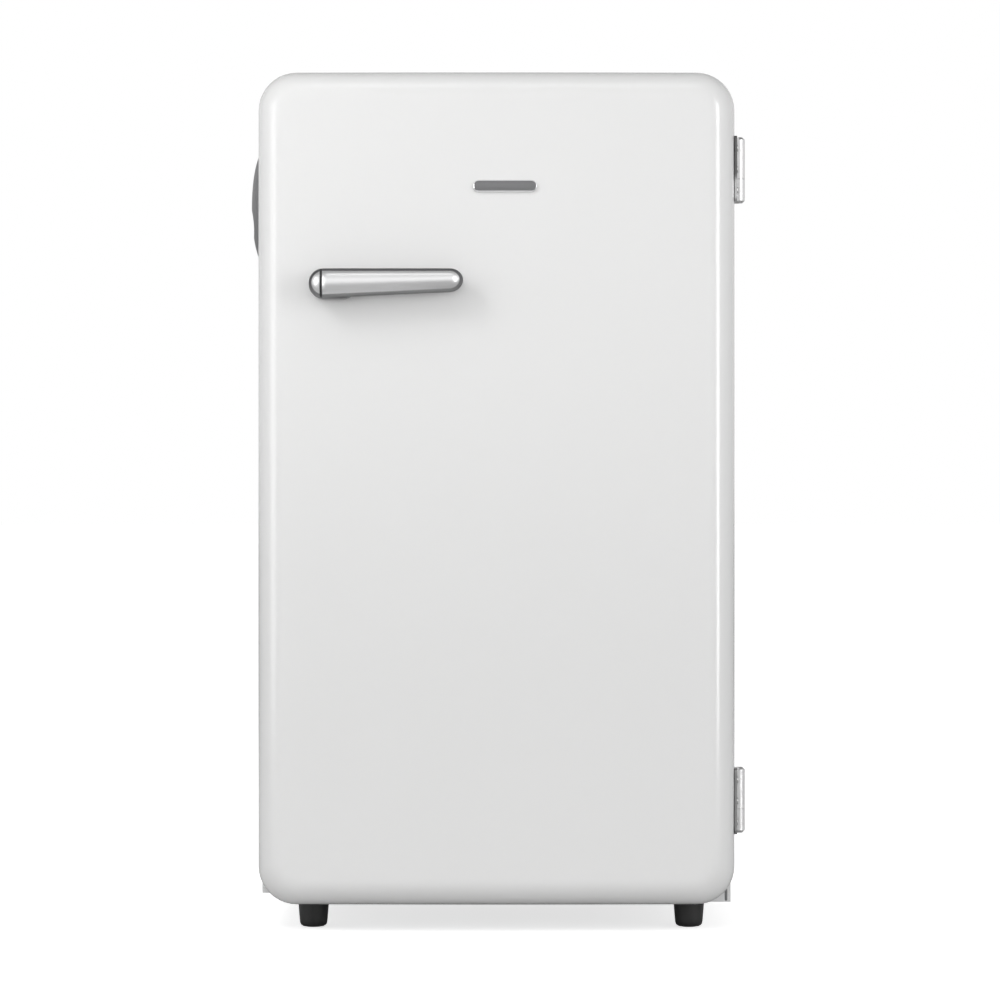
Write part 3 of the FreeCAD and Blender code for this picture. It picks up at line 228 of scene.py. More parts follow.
def area_light(name, place, target, width, height, radiance, glossy=True):
    """A soft rectangular light that faces a point; radiance is how bright its face looks."""
    data = bpy.data.lights.new(name, "AREA")
    data.shape = "RECTANGLE"
    data.size = width
    data.size_y = height
    data.energy = radiance * width * height * math.pi
    light = bpy.data.objects.new(name, data)
    light.location = place
    light.rotation_euler = (Vector(target) - Vector(place)).to_track_quat("-Z", "Y").to_euler()
    light.visible_glossy = glossy
    scene.collection.objects.link(light)


area_light("front_fill", (0, -7.4, 1.7), door_middle, 2.4, 2.3, 0.95, glossy=False)
area_light("key", (-0.85, -1.0, 1.4), (-0.1, silhouette_y, 0.6), 0.4, 0.4, 7.8, glossy=False)
area_light("left_bank", (-2.87, -2.2, 1.0), door_middle, 1.6, 2.6, 1.5)
area_light("right_strip", (2.58, -2.54, 0.8), door_middle, 0.65, 2.6, 5.6)
area_light("top_bank", (0, -1.92, 3.6), door_middle, 2.4, 0.7, 1.3)
area_light("back_left", (-2.0, 2.6, 1.6), (0, 0.2, 0.45), 1.4, 1.4, 2.0, glossy=False)
area_light("back_right", (2.0, 2.6, 1.0), (0, 0.2, 0.45), 1.4, 1.4, 1.6, glossy=False)


def surround(front, back, overhead):
    """A world that is plain white to the eye; to the light it dims towards the back and overhead."""
    world = bpy.data.worlds.new("surround")
    world.use_nodes = True
    scene.world = world
    sky = Network(world.node_tree)
    towards = sky.node("ShaderNodeSeparateXYZ", Vector=sky.node("ShaderNodeTexCoord").outputs["Generated"])
    rise = sky.node("ShaderNodeMapRange", Value=towards.outputs["Z"],
                    From_Min=0.0, From_Max=0.9, To_Min=1.0, To_Max=overhead)
    depth = sky.node("ShaderNodeMapRange", Value=towards.outputs["Y"],
                     From_Min=-0.35, From_Max=0.35, To_Min=front, To_Max=back)
    plain = sky.node("ShaderNodeBackground", Color=(1, 1, 1, 1))
    felt = sky.node("ShaderNodeBackground", Strength=Signal(rise.outputs[0]) * Signal(depth.outputs[0]))
    sky.node("ShaderNodeOutputWorld", Surface=sky.to_eye_or_light(plain, felt))


surround(front=1.57, back=0.86, overhead=0.29)

# %% [markdown]
# ## Enamel and metals
# Enamel sprayed on steel has a faint orange-peel ripple under a clear coat, so the ripple goes into the
# bump and not into the colour. Chrome is a mirror with faint smears. Galvanised sheet shows the flakes of
# its zinc, each with its own brightness, which is what a cell pattern gives.

# %% Enamel and sheet metal
def enamel():
    """Glossy white sprayed enamel: the colour hardly varies, the surface ripples slightly."""
    finish = Finish("white enamel", Coat_Weight=1.0, Coat_Roughness=0.16)
    finish.surface(
        Base_Color=finish.mixed(finish.noise(3.0), (0.785, 0.785, 0.782), (0.81, 0.81, 0.808)),
        Roughness=0.19 + 0.07 * finish.noise(25.0),
    )
    finish.bump(finish.noise(420.0, 1.0), 0.04 * mm, 0.12)
    return finish.material


def painted_steel(name, light, dark, roughness):
    """Powder-coated steel: a pebbled skin with uneven gloss."""
    finish = Finish(name)
    finish.surface(
        Base_Color=finish.mixed(finish.noise(9.0, 4.0), light, dark),
        Roughness=roughness + 0.15 * finish.noise(60.0),
    )
    finish.bump(finish.noise(900.0), 0.06 * mm, 0.4)
    return finish.material


def galvanised():
    """Zinc-coated sheet: flakes about seven millimetres across, each turned its own way."""
    finish = Finish("galvanised sheet", Metallic=0.9)
    flake = Signal(finish.node("ShaderNodeSeparateColor", Color=finish.cells(140.0, "Color")).outputs[0])
    finish.surface(
        Base_Color=finish.mixed(flake, (0.42, 0.43, 0.44), (0.58, 0.59, 0.60)),
        Roughness=0.32 + 0.2 * flake,
    )
    finish.bump(flake, 0.03 * mm, 0.3)
    return finish.material


def polished(name, light, dark, roughness, smear_scale):
    """A plated mirror whose smears show as small changes of roughness."""
    finish = Finish(name, Metallic=1.0)
    smear = finish.noise(smear_scale, 4.0, (0.3, 1, 1))
    finish.surface(
        Base_Color=finish.mixed(smear, light, dark),
        Roughness=roughness + 0.08 * smear,
    )
    finish.bump(finish.noise(220.0), 0.01 * mm, 0.2)
    return finish.material


def hinge_chrome_painted_shade():
    """Plating with painted shade: dark on the leaves beside the wall, a tone that changes with height, and
    the barrel's left side darker than its right.
    """
    finish = Finish("hinge chrome with painted shade", Metallic=1.0)
    # The colour paints shade: the leaves beside the wall are dark, by an amount that changes with height,
    # and the barrel darkens towards its left side.
    across = finish.along("X", 230, 250)
    outside = finish.ramp(across, (0.48, 0.0), (0.58, 1.0))
    barrel_painted_shade = finish.ramp(across, (0.77, 0.72), (0.88, 1.0))
    upright = finish.along("Z", 0, 800)
    leaf_painted_shade_tone = finish.ramp(upright, (0.2, 0.32), (0.3, 0.6), (0.936, 0.6), (0.943, 0.16))
    behind = finish.ramp(finish.along("Y", -190, -170), (0.62, 0.0), (0.78, 1.0))
    leaf_with_painted_shade = finish.mixed(behind, leaf_painted_shade_tone.socket, (0.66, 0.66, 0.665))
    finish.surface(
        Base_Color=finish.mixed(outside, leaf_with_painted_shade, barrel_painted_shade.socket),
        Roughness=0.34 + 0.06 * finish.noise(40.0),
    )
    finish.bump(finish.noise(220.0), 0.01 * mm, 0.05)
    return finish.material


def zinc():
    """Zinc-plated fasteners: dull, slightly mottled."""
    finish = Finish("zinc plated steel", Metallic=1.0)
    mottle = finish.noise(260.0, 3.0)
    finish.surface(
        Base_Color=finish.mixed(mottle, (0.50, 0.50, 0.49), (0.66, 0.66, 0.66)),
        Roughness=0.28 + 0.2 * mottle,
    )
    finish.bump(mottle, 0.03 * mm, 0.4)
    return finish.material


def copper():
    """Drawn copper tube: bright where handled, brown where it has tarnished."""
    finish = Finish("copper tube", Metallic=1.0)
    tarnish = finish.ramp(finish.noise(40.0, 5.0), (0.35, 0.0), (0.7, 1.0))
    finish.surface(
        Base_Color=finish.mixed(tarnish, (0.72, 0.36, 0.22), (0.40, 0.21, 0.14)),
        Roughness=0.2 + 0.3 * tarnish,
    )
    finish.bump(tarnish, 0.03 * mm, 0.3)
    return finish.material


def icebox_skin():
    """Roll-bonded aluminium: rolled grain along the sheet and the swollen channels of the evaporator."""
    finish = Finish("rolled aluminium", Metallic=1.0)
    grain = finish.noise(500.0, 2.0, (1, 0.04, 1))
    wave = finish.node("ShaderNodeTexWave", {"bands_direction": "X", "wave_profile": "SIN"},
                       Vector=finish.place, Scale=9.0, Distortion=3.0, Detail=0.0)
    channel = finish.ramp(Signal(wave.outputs["Fac"]), (0.62, 0.0), (0.8, 1.0))
    finish.surface(
        Base_Color=finish.mixed(grain, (0.62, 0.63, 0.64), (0.74, 0.75, 0.76)),
        Roughness=0.3 + 0.2 * grain,
    )
    finish.bump(channel + 0.02 * grain, 1.2 * mm, 0.6)
    return finish.material


print("metals ready")

# %% [markdown]
# ## Plastics, rubber, glass and foam
# Moulded plastic takes the fine grain of its spark-eroded mould. Clear plastic and glass let light
# through, and only faint waves give them away. Foam is a bed of small closed cells.

# %% Plastics, glass and foam
def moulded(name, light, dark, roughness, grain, depth, **constants):
    """Injection-moulded plastic or rubber: nearly even colour and a fine grain."""
    finish = Finish(name, **constants)
    finish.surface(
        Base_Color=finish.mixed(finish.noise(14.0, 3.0), light, dark),
        Roughness=roughness + 0.12 * finish.noise(90.0),
    )
    finish.bump(finish.noise(grain, 1.0), depth, 0.5)
    return finish.material


def clear(name, tint, roughness, waves):
    """Clear plastic or glass."""
    finish = Finish(name, Transmission_Weight=1.0, IOR=1.46)
    wave = finish.noise(waves)
    finish.surface(
        Base_Color=finish.mixed(wave, tint, tuple(0.97 * part for part in tint)),
        Roughness=roughness + 0.05 * wave,
    )
    finish.bump(wave, 0.04 * mm, 0.2)
    return finish.material


def foam():
    """Rigid foam: pale yellow with small closed cells."""
    finish = Finish("rigid foam")
    cell = Signal(finish.cells(700.0))
    finish.surface(
        Base_Color=finish.mixed(cell, (0.62, 0.52, 0.30), (0.74, 0.64, 0.40)),
        Roughness=0.8 + 0.1 * cell,
    )
    finish.bump(cell, 0.4 * mm, 0.5)
    return finish.material


gloss = {"Coat_Weight": 0.3, "Coat_Roughness": 0.08}
finishes = {
    "white_enamel": enamel(),
    "sheet_steel": galvanised(),
    "back_paint": painted_steel("grey back paint", (0.60, 0.61, 0.61), (0.54, 0.55, 0.55), 0.42),
    "white_plastic": moulded(
        "white plastic", (0.80, 0.81, 0.81), (0.76, 0.77, 0.77), 0.24, 300, 0.03 * mm, **gloss),
    "foam": foam(),
    "chrome": polished("chrome", (0.84, 0.84, 0.85), (0.90, 0.90, 0.91), 0.04, 30.0),
    "zinc_steel": zinc(),
    "black_plastic": moulded(
        "black plastic", (0.022, 0.022, 0.023), (0.03, 0.03, 0.031), 0.42, 1500, 0.08 * mm),
    "foot_black": moulded(
        "black foot plastic", (0.018, 0.018, 0.018), (0.026, 0.026, 0.026), 0.38, 1300, 0.06 * mm),
    "black_rubber": moulded("black rubber", (0.02, 0.02, 0.02), (0.035, 0.034, 0.033), 0.7, 900, 0.1 * mm),
    "gasket_rubber": moulded(
        "grey gasket rubber", (0.58, 0.58, 0.57), (0.50, 0.50, 0.49), 0.55, 1200, 0.06 * mm),
    "machine_black": painted_steel("black machine paint", (0.03, 0.03, 0.032), (0.045, 0.045, 0.047), 0.3),
    "copper": copper(),
    "icebox_aluminium": icebox_skin(),
    "clear_plastic": clear("clear plastic", (0.93, 0.965, 0.98), 0.04, 60.0),
    "shelf_glass": clear("toughened glass", (0.82, 0.94, 0.90), 0.0, 8.0),
    "lamp_glass": clear("lamp glass", (1.0, 0.97, 0.90), 0.05, 200.0),
    "trim_plastic": moulded(
        "white trim plastic", (0.78, 0.79, 0.80), (0.73, 0.74, 0.75), 0.2, 400, 0.03 * mm, **gloss),
    "rail_plastic": moulded("rail plastic", (0.72, 0.73, 0.74), (0.67, 0.68, 0.69), 0.3, 400, 0.03 * mm),
    "dark_cast": painted_steel("dark cast metal", (0.165, 0.165, 0.17), (0.21, 0.21, 0.215), 0.35),
}
hinge_plating_painted_shade = hinge_chrome_painted_shade()
bracket_plating = polished("plated bracket", (0.74, 0.74, 0.745), (0.82, 0.82, 0.825), 0.34, 30.0)
# The handle base's plating is darkened far below chrome: painted shade for the dark outline round the pull.
base_plating_painted_shade = polished("handle base chrome with painted shade", (0.20, 0.20, 0.205), (0.26, 0.26, 0.265), 0.34, 30.0)
plate_grey = moulded("name plate grey", (0.17, 0.17, 0.175), (0.20, 0.20, 0.205), 0.3, 800, 0.03 * mm)
print(len(finishes), "finishes")

# %% [markdown]
# Each engineering part keeps its mesh and takes the finish that its material slot names. The hinges, the
# corner bracket and the handle's base are plated too, but polished less than the other chrome, so each of
# the three has a finish of its own. The hinges' finish paints shade beside the wall and on the barrel's
# left side, and the handle base's plating is darkened as painted shade round the pull.

# %% Dress the engineering parts
special = {
    "hinge_cabinet_leaves": hinge_plating_painted_shade,
    "hinge_door_leaves": hinge_plating_painted_shade,
    "corner_bracket": bracket_plating,
    "handle_base": base_plating_painted_shade,
}
for part in frame["record"]["subparts"]:
    mesh = nodes[part["node"]].data
    mesh.materials.clear()
    mesh.materials.append(special.get(part["node"], finishes[part["material_slot"]]))

# %% [markdown]
# ## Mesh helpers
# Most of the pieces below are skins stretched over a row of closed outlines, as a boat's planks go over
# its frames. One helper stretches the skin, another turns a mesh into a piece that rides on a body and
# stands for the engineering part whose place it takes.

# %% Helpers for meshes and pieces
hairbreadth = 0.001 * mm


def skin(rings, first_end=True, last_end=True):
    """A mesh over closed rings of equally many points, with flat ends where asked."""
    mesh = bmesh.new()
    rows = [[mesh.verts.new(point) for point in ring] for ring in rings]
    count = len(rows[0])
    for row, following in zip(rows, rows[1:]):
        for i in range(count):
            j = (i + 1) % count
            mesh.faces.new((row[i], row[j], following[j], following[i]))
    if first_end:
        mesh.faces.new(reversed(rows[0]))
    if last_end:
        mesh.faces.new(rows[-1])
    return mesh


def settled(mesh):
    """Merge doubled points, drop what collapsed, and turn every face outwards."""
    bmesh.ops.remove_doubles(mesh, verts=mesh.verts, dist=hairbreadth)
    bmesh.ops.dissolve_degenerate(mesh, edges=mesh.edges, dist=hairbreadth)
    bmesh.ops.recalc_face_normals(mesh, faces=mesh.faces)
    return mesh


def in_order(mesh):
    """Sort the faces by place, because solidifying may leave the rim's in another order on each run."""
    by_place = sorted(mesh.faces, key=lambda face: tuple(face.calc_center_median()))
    rank = {face: i for i, face in enumerate(by_place)}
    mesh.faces.sort(key=rank.get)
    return mesh


def piece(name, mesh, slot, body, replaces=(), material=None, sharp=35):
    """Finish a piece: smooth shading with creases, a finish, a body to ride on."""
    data = mesh
    if isinstance(mesh, bmesh.types.BMesh):
        data = bpy.data.meshes.new(name)
        mesh.to_mesh(data)
        mesh.free()
    data.materials.clear()
    data.materials.append(material or finishes[slot])
    data.shade_smooth()
    data.set_sharp_from_angle(angle=math.radians(sharp))
    thing = bpy.data.objects.new(name, data)
    scene.collection.objects.link(thing)
    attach(thing, body)
    if replaces:
        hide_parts(*replaces)
    print(f"{name}: {len(data.polygons)} faces")
    return thing


def turned(profile, segments, centre):
    """A solid of revolution about an upright axis, from (radius, height) pairs in millimetres."""
    rings = []
    for radius, height in profile:
        ring = []
        for i in range(segments):
            angle = 2 * math.pi * i / segments
            ring.append((centre[0] + radius * mm * math.cos(angle),
                         centre[1] + radius * mm * math.sin(angle),
                         height * mm))
        rings.append(ring)
    return settled(skin(rings))


print("helpers ready")

# %% [markdown]
# ## Crowned door
# The real door skin is one pressed sheet. Its face bulges very gently across and down, a wide rounding
# leads round to the side walls, and a narrow rim turns in at the back to hold the foam. The skin is made
# of rings that follow the door's outline, each a little further in than the last. Near the edge the rings
# lie close together because that is where the highlights bend. Inside them a plain grid is enough.

# %% Press the door skin
door_half = 237.5
door_middle_z = 442.0
door_half_tall = 415.0
face_y = -207.0
wall_y = -156.0
crown_across = 5160.0
crown_down = 19306.0
rounding = 26.0
corner_radius = 38.0
corner_shrink = 0.72
corner_inset = corner_radius / corner_shrink
corner_steps, across_steps, down_steps, rounding_steps = 10, 20, 36, 16
face_insets = (29.0, 34.0, 42.0, corner_inset)
rim_profile = [(14.0, wall_y), (3.0, wall_y), (0.9, wall_y - 0.25), (0.25, wall_y - 0.9),
               (0.0, wall_y - 3.0)]
sheet_thickness = 0.8
foam_depth = 0.9


def crown(x, z):
    """Depth of the gently bulging face."""
    return face_y + x * x / (2 * crown_across) + (z - door_middle_z) ** 2 / (2 * crown_down)


def door_ring(inset):
    """(x, z) points of a rounded rectangle that lies a little inside the door's outline."""
    radius = max(corner_radius - corner_shrink * inset, 0.0)
    half_x = door_half - inset - radius
    half_z = door_half_tall - inset - radius
    points = []
    for quarter, (side_x, side_z) in enumerate(((1, 1), (-1, 1), (-1, -1), (1, -1))):
        for step in range(corner_steps):
            angle = math.pi / 2 * (quarter + step / corner_steps)
            points.append((side_x * half_x + radius * math.cos(angle),
                           side_z * half_z + radius * math.sin(angle)))
        end = math.pi / 2 * (quarter + 1)
        start_point = (side_x * half_x + radius * math.cos(end), side_z * half_z + radius * math.sin(end))
        steps = across_steps if quarter % 2 == 0 else down_steps
        run = -2 * half_x * side_x if quarter % 2 == 0 else 0.0
        rise = -2 * half_z * side_z if quarter % 2 else 0.0
        for share in (step / steps for step in range(steps)):
            points.append((start_point[0] + run * share, start_point[1] + rise * share))
    return [(x, z + door_middle_z) for x, z in points]


def door_skin():
    """Rings from the turned-in rim over the rounding, a grid inside them, then the sheet's thickness."""
    rings = [[(x * mm, y * mm, z * mm) for x, z in door_ring(inset)] for inset, y in rim_profile]
    turns = [math.pi / 2 * step / rounding_steps for step in range(rounding_steps + 1)]
    face_rings = [(rounding * (1 - math.cos(turn)), rounding * (1 - math.sin(turn))) for turn in turns]
    face_rings += [(inset, 0.0) for inset in face_insets]
    for inset, sink in face_rings:
        rings.append([(x * mm, (crown(x, z) + sink) * mm, z * mm) for x, z in door_ring(inset)])
    mesh = skin(rings, first_end=False, last_end=False)
    half_x = door_half - corner_inset
    half_z = door_half_tall - corner_inset
    across = [half_x * (2 * column / across_steps - 1) for column in range(across_steps + 1)]
    grid = []
    for row in range(down_steps + 1):
        z = door_middle_z + half_z * (2 * row / down_steps - 1)
        grid.append([mesh.verts.new((x * mm, crown(x, z) * mm, z * mm)) for x in across])
    for lower, upper in zip(grid, grid[1:]):
        for column in range(across_steps):
            mesh.faces.new((lower[column], lower[column + 1], upper[column + 1], upper[column]))
    settled(mesh)
    middle = min(mesh.faces, key=lambda face: face.calc_center_median().y)
    if middle.normal.y > 0:
        bmesh.ops.reverse_faces(mesh, faces=mesh.faces)
    everything = mesh.faces[:] + mesh.edges[:] + mesh.verts[:]
    bmesh.ops.solidify(mesh, geom=everything, thickness=sheet_thickness * mm)
    return in_order(mesh)


def foam_behind(shell):
    """The engineering foam, pressed back wherever the finer skin comes closer than its own thickness."""
    shell_tree = BVHTree.FromBMesh(shell)
    filling = bmesh.new()
    filling.from_mesh(nodes["door_foam"].data)
    for vertex in filling.verts:
        ahead = Vector((vertex.co.x, -1.0, vertex.co.z))
        surface = shell_tree.ray_cast(ahead, Vector((0, 1, 0)))[0]
        if surface is not None:
            vertex.co.y = max(vertex.co.y, surface.y + foam_depth * mm)
    return filling


pressed = door_skin()
piece("door_foam_filling", foam_behind(pressed), "foam", "door", ["door_foam"])
piece("pressed_door_skin", pressed, "white_enamel", "door", ["door_skin"], sharp=50)

# %% [markdown]
# ## Chrome pull
# The pull is a die-cast bar, plated and polished. It is deep and tall where the fingers go in on the left
# and it tapers to a rounded tip. A separate cap closes its left end behind a narrow seam, whose shade is
# painted by a thin black piece. Each slice across the bar is a half oval, so the plating shows one bright
# band high up and darkens towards the bottom; its colour adds painted shade, a dark line along the
# outline and a darker lower right. Where the tip begins, the slices shrink along a circle.

# %% Cast the handle
bar_back = -226.2
bar_deep = 15.7
bar_left = -171.6
bar_right = -33.0
bar_low = 630.2
bar_high = 659.4
bar_rise = 6.4
tip_length = 13.0
cap_x = -170.85
cap_z = 644.85
cap_radius = 14.6
cap_left = -185.4
cap_wide = 11.1
cap_deep = 15.2
bar_steps, tip_steps, cap_steps = 24, 12, 16


def slice_of(x, middle_z, half_tall, deep, steps=32):
    """One upright slice: a half oval in front, closed by a flat back."""
    ring = []
    for i in range(steps + 1):
        angle = math.pi * (i / steps - 0.5)
        rise = math.copysign(abs(math.sin(angle)) ** 0.9, angle)
        y = bar_back - deep * math.cos(angle) ** 0.8
        ring.append((x * mm, y * mm, (middle_z + half_tall * rise) * mm))
    return ring


def bar_slice(x):
    """Middle height and half height of the tapering bar, and how far into the tip it is."""
    share = (x - bar_left) / (bar_right - bar_left)
    low = bar_low + bar_rise * share
    beyond = max(0.0, x - (bar_right - tip_length)) / tip_length
    return (bar_high + low) / 2, (bar_high - low) / 2, beyond


def handle_bar():
    """The bar's slices from left to right: a slightly smaller one that breaks the edge, then the rest."""
    places = [bar_left + (bar_right - tip_length - bar_left) * i / bar_steps for i in range(bar_steps + 1)]
    places += [bar_right - tip_length * (1 - math.sin(math.pi / 2 * i / tip_steps))
               for i in range(1, tip_steps + 1)]
    rings = [slice_of(bar_left - 0.4, (bar_low + bar_high) / 2, 13.9, bar_deep - 0.6)]
    for x in places:
        middle, half, beyond = bar_slice(x)
        shrink = max(math.sqrt(max(1 - beyond * beyond, 0.0)), 0.02)
        rings.append(slice_of(x, middle, half * shrink, bar_deep * shrink ** 0.8))
    return rings


def bar_gap(x, z):
    """How far a point of the bar lies inside the bar's outline, in millimetres."""
    middle, half, beyond = bar_slice(x)
    return half * (1 - math.hypot(beyond, (z - middle) / half))


def end_cap():
    """The cap's slices follow a circle as seen from the front."""
    rings = []
    for i in range(cap_steps + 1):
        x = cap_left + cap_wide * math.sin(math.pi / 2 * i / cap_steps) ** 2
        reach = min(abs(x - cap_x) / cap_radius, 0.9998)
        half = cap_radius * math.sqrt(1 - reach * reach)
        rings.append(slice_of(x, cap_z, half, cap_deep * (1 - reach ** 2.6) ** 0.5))
    return rings


def cap_gap(x, z):
    """How far a point of the cap lies inside the cap's outline, in millimetres."""
    return cap_radius - math.hypot(x - cap_x, z - cap_z)


def with_rim(rings, gap):
    """A skin whose points remember how far inside the outline they lie, in centimetres."""
    mesh = skin(rings)
    layer = mesh.verts.layers.float.new("rim")
    for vertex in mesh.verts:
        vertex[layer] = 0.1 * gap(vertex.co.x / mm, vertex.co.z / mm)
    return settled(mesh)


def painted_shade_rim_chrome():
    """Satin plating with painted shade: a dark line along the outline, lighter low down, and a darker lower
    right.
    """
    finish = Finish("handle chrome with painted shade", Metallic=1.0, Specular_Tint=(0.45, 0.45, 0.45, 1))
    smear = finish.noise(30.0, 4.0, (0.3, 1, 1))
    rim = Signal(finish.node("ShaderNodeAttribute", {"attribute_name": "rim"}).outputs["Fac"])
    # The colour paints shade: dark along the outline and darker towards the lower right of the bar.
    inside = finish.ramp(rim, (0.26, 0.0), (0.36, 1.0))
    low = finish.ramp(finish.along("Z", 630, 660), (0.25, 1.0), (0.62, 0.0))
    tip = finish.ramp(finish.along("X", -130, -30), (0.3, 0.0), (0.95, 0.35))
    finish.surface(
        Base_Color=finish.mixed(
            inside,
            finish.mixed(low, (0.18, 0.18, 0.185), (0.34, 0.34, 0.345)),
            finish.mixed(tip * low, (0.96, 0.96, 0.965), (0.0, 0.0, 0.0)),
        ),
        Roughness=0.34 + 0.04 * smear,
    )
    finish.bump(finish.noise(220.0), 0.01 * mm, 0.15)
    return finish.material


handle_chrome_painted_shade = painted_shade_rim_chrome()
piece("chrome_pull", with_rim(handle_bar(), bar_gap), "chrome", "door", ["handle_bar"], handle_chrome_painted_shade, 60)
piece("chrome_end_cap", with_rim(end_cap(), cap_gap), "chrome", "door", ["handle_cap"], handle_chrome_painted_shade, 60)

# A thin black slice in the seam between bar and cap is painted shade: it stands for the shade inside the
# gap.
seam_rings = [slice_of(x, cap_z, 14.1, 14.1) for x in (-174.6, -171.8)]
piece("handle_seam_painted_shade", settled(skin(seam_rings)), "black_plastic", "door")

# %% [markdown]
# ## Name plate
# A maker's mark would sit here. A plain pill takes its place: a chrome rim round a flat grey field, with
# no letters. The rim is a narrow raised ring so that it catches a line of light.

# %% Stamp the name plate
def pill(half, y, middle=(8.5, 742.0), straight=26.0, upright=False, steps=16):
    """(x, y, z) points of a pill outline round a middle (x, z), lying down or upright."""
    ring = []
    for side in (1, -1):
        for i in range(steps + 1):
            angle = math.pi * (i / steps - 0.5) + (0 if side > 0 else math.pi)
            along = side * straight + half * math.cos(angle)
            over = half * math.sin(angle)
            x, z = (over, along) if upright else (along, over)
            ring.append(((middle[0] + x) * mm, y * mm, (middle[1] + z) * mm))
    return ring


def pills(section, **place):
    """One pill outline for each (half height, y) pair of a section."""
    return [pill(half, y, **place) for half, y in section]


rim_section = [(6.0, -204.4), (6.0, -206.3), (5.7, -206.8), (5.2, -206.95),
               (4.9, -206.8), (4.8, -206.2), (4.8, -204.4)]
field_section = [(4.8, -204.6), (4.8, -206.2), (4.3, -206.4)]
plate_rim = settled(skin(pills(rim_section), first_end=False, last_end=False))
plate_field = settled(skin(pills(field_section)))
piece("name_plate_rim", plate_rim, "chrome", "door", ["badge"])
piece("name_plate_field", plate_field, "chrome", "door", material=plate_grey)

# %% [markdown]
# Below the door's lower right corner a narrow upright slot in the corner bracket takes the hinge side's
# travel lock. A flat dark pill over it is painted shade, standing for the shade inside the slot.

# %% Paint the bracket slot's shade
# A flat dark pill on the bracket's face is painted shade for the inside of the slot.
slot_shade_section = [(1.3, -143.5), (1.3, -144.15), (1.0, -144.3)]
slot_painted_shade = settled(skin(pills(slot_shade_section, middle=(230.4, 34.8), straight=5.4, upright=True)))
piece("bracket_slot_painted_shade", slot_painted_shade, "dark_cast", "cabinet")

# %% [markdown]
# ## Repeated parts
# Screws, wires and ribs repeat, so each is modelled once and copied by a small geometry node tree. The
# tree lays points in a row, puts a copy on each, turns every copy a random amount from a fixed seed, as a
# fitter leaves screw slots at random, and then makes the copies real and gives them their finish.

# %% Grow a row of copies
def row_tree():
    tree = bpy.data.node_groups.new("row of copies", "GeometryNodeTree")
    for name, kind in (("Part", "Geometry"), ("Count", "Int"), ("Start", "Vector"), ("Step", "Vector"),
                       ("Turn", "Vector"), ("Seed", "Int"), ("Finish", "Material")):
        tree.interface.new_socket(name, in_out="INPUT", socket_type=f"NodeSocket{kind}")
    tree.interface.new_socket("Copies", in_out="OUTPUT", socket_type="NodeSocketGeometry")
    row = Network(tree)
    given = row.node("NodeGroupInput").outputs
    line = row.node("GeometryNodeMeshLine", Count=given["Count"], Start_Location=given["Start"],
                    Offset=given["Step"])
    chance = row.node("FunctionNodeRandomValue", {"data_type": "FLOAT_VECTOR"}, Min=(0, 0, 0),
                      Max=given["Turn"], Seed=given["Seed"])
    spread = row.node("GeometryNodeInstanceOnPoints", Points=line.outputs["Mesh"], Instance=given["Part"],
                      Rotation=chance.outputs["Value"])
    real = row.node("GeometryNodeRealizeInstances", Geometry=spread.outputs["Instances"])
    dress = row.node("GeometryNodeSetMaterial", Geometry=real.outputs["Geometry"], Material=given["Finish"])
    row.node("NodeGroupOutput", Copies=dress.outputs["Geometry"])
    return tree


copies_tree = row_tree()
sockets = {item.name: item.identifier
           for item in copies_tree.interface.items_tree if item.in_out == "INPUT"}


def copies(model, rows, slot, turn=(0, 0, 0)):
    """One mesh with the model at every place of every (start, step, count) row, in millimetres."""
    data = bpy.data.meshes.new("model")
    model.to_mesh(data)
    model.free()
    whole = bmesh.new()
    for seed, (start, step, count) in enumerate(rows):
        carrier = bpy.data.objects.new("carrier", data)
        scene.collection.objects.link(carrier)
        grower = carrier.modifiers.new("copies", "NODES")
        grower.node_group = copies_tree
        grower[sockets["Count"]] = count
        grower[sockets["Start"]] = [value * mm for value in start]
        grower[sockets["Step"]] = [value * mm for value in step]
        grower[sockets["Turn"]] = [float(value) for value in turn]
        grower[sockets["Seed"]] = seed
        grower[sockets["Finish"]] = finishes[slot]
        ready = carrier.evaluated_get(bpy.context.evaluated_depsgraph_get())
        grown = bpy.data.meshes.new_from_object(ready)
        whole.from_mesh(grown)
        bpy.data.meshes.remove(grown)
        carrier.modifiers.remove(grower)
        bpy.data.objects.remove(carrier)
    return whole


print("row tree inputs:", ", ".join(sockets))

# %% [markdown]
# ## Screws
# A pan-head screw has a low rounded head with a cross recess. The head is a flat disc with a cross-shaped
# hole, a rounded shoulder round it, and the walls and floor of the recess. It faces along one axis, and a
# sign says which way.

# %% Forge screw heads
head_steps = 24
full_turn = 2 * math.pi


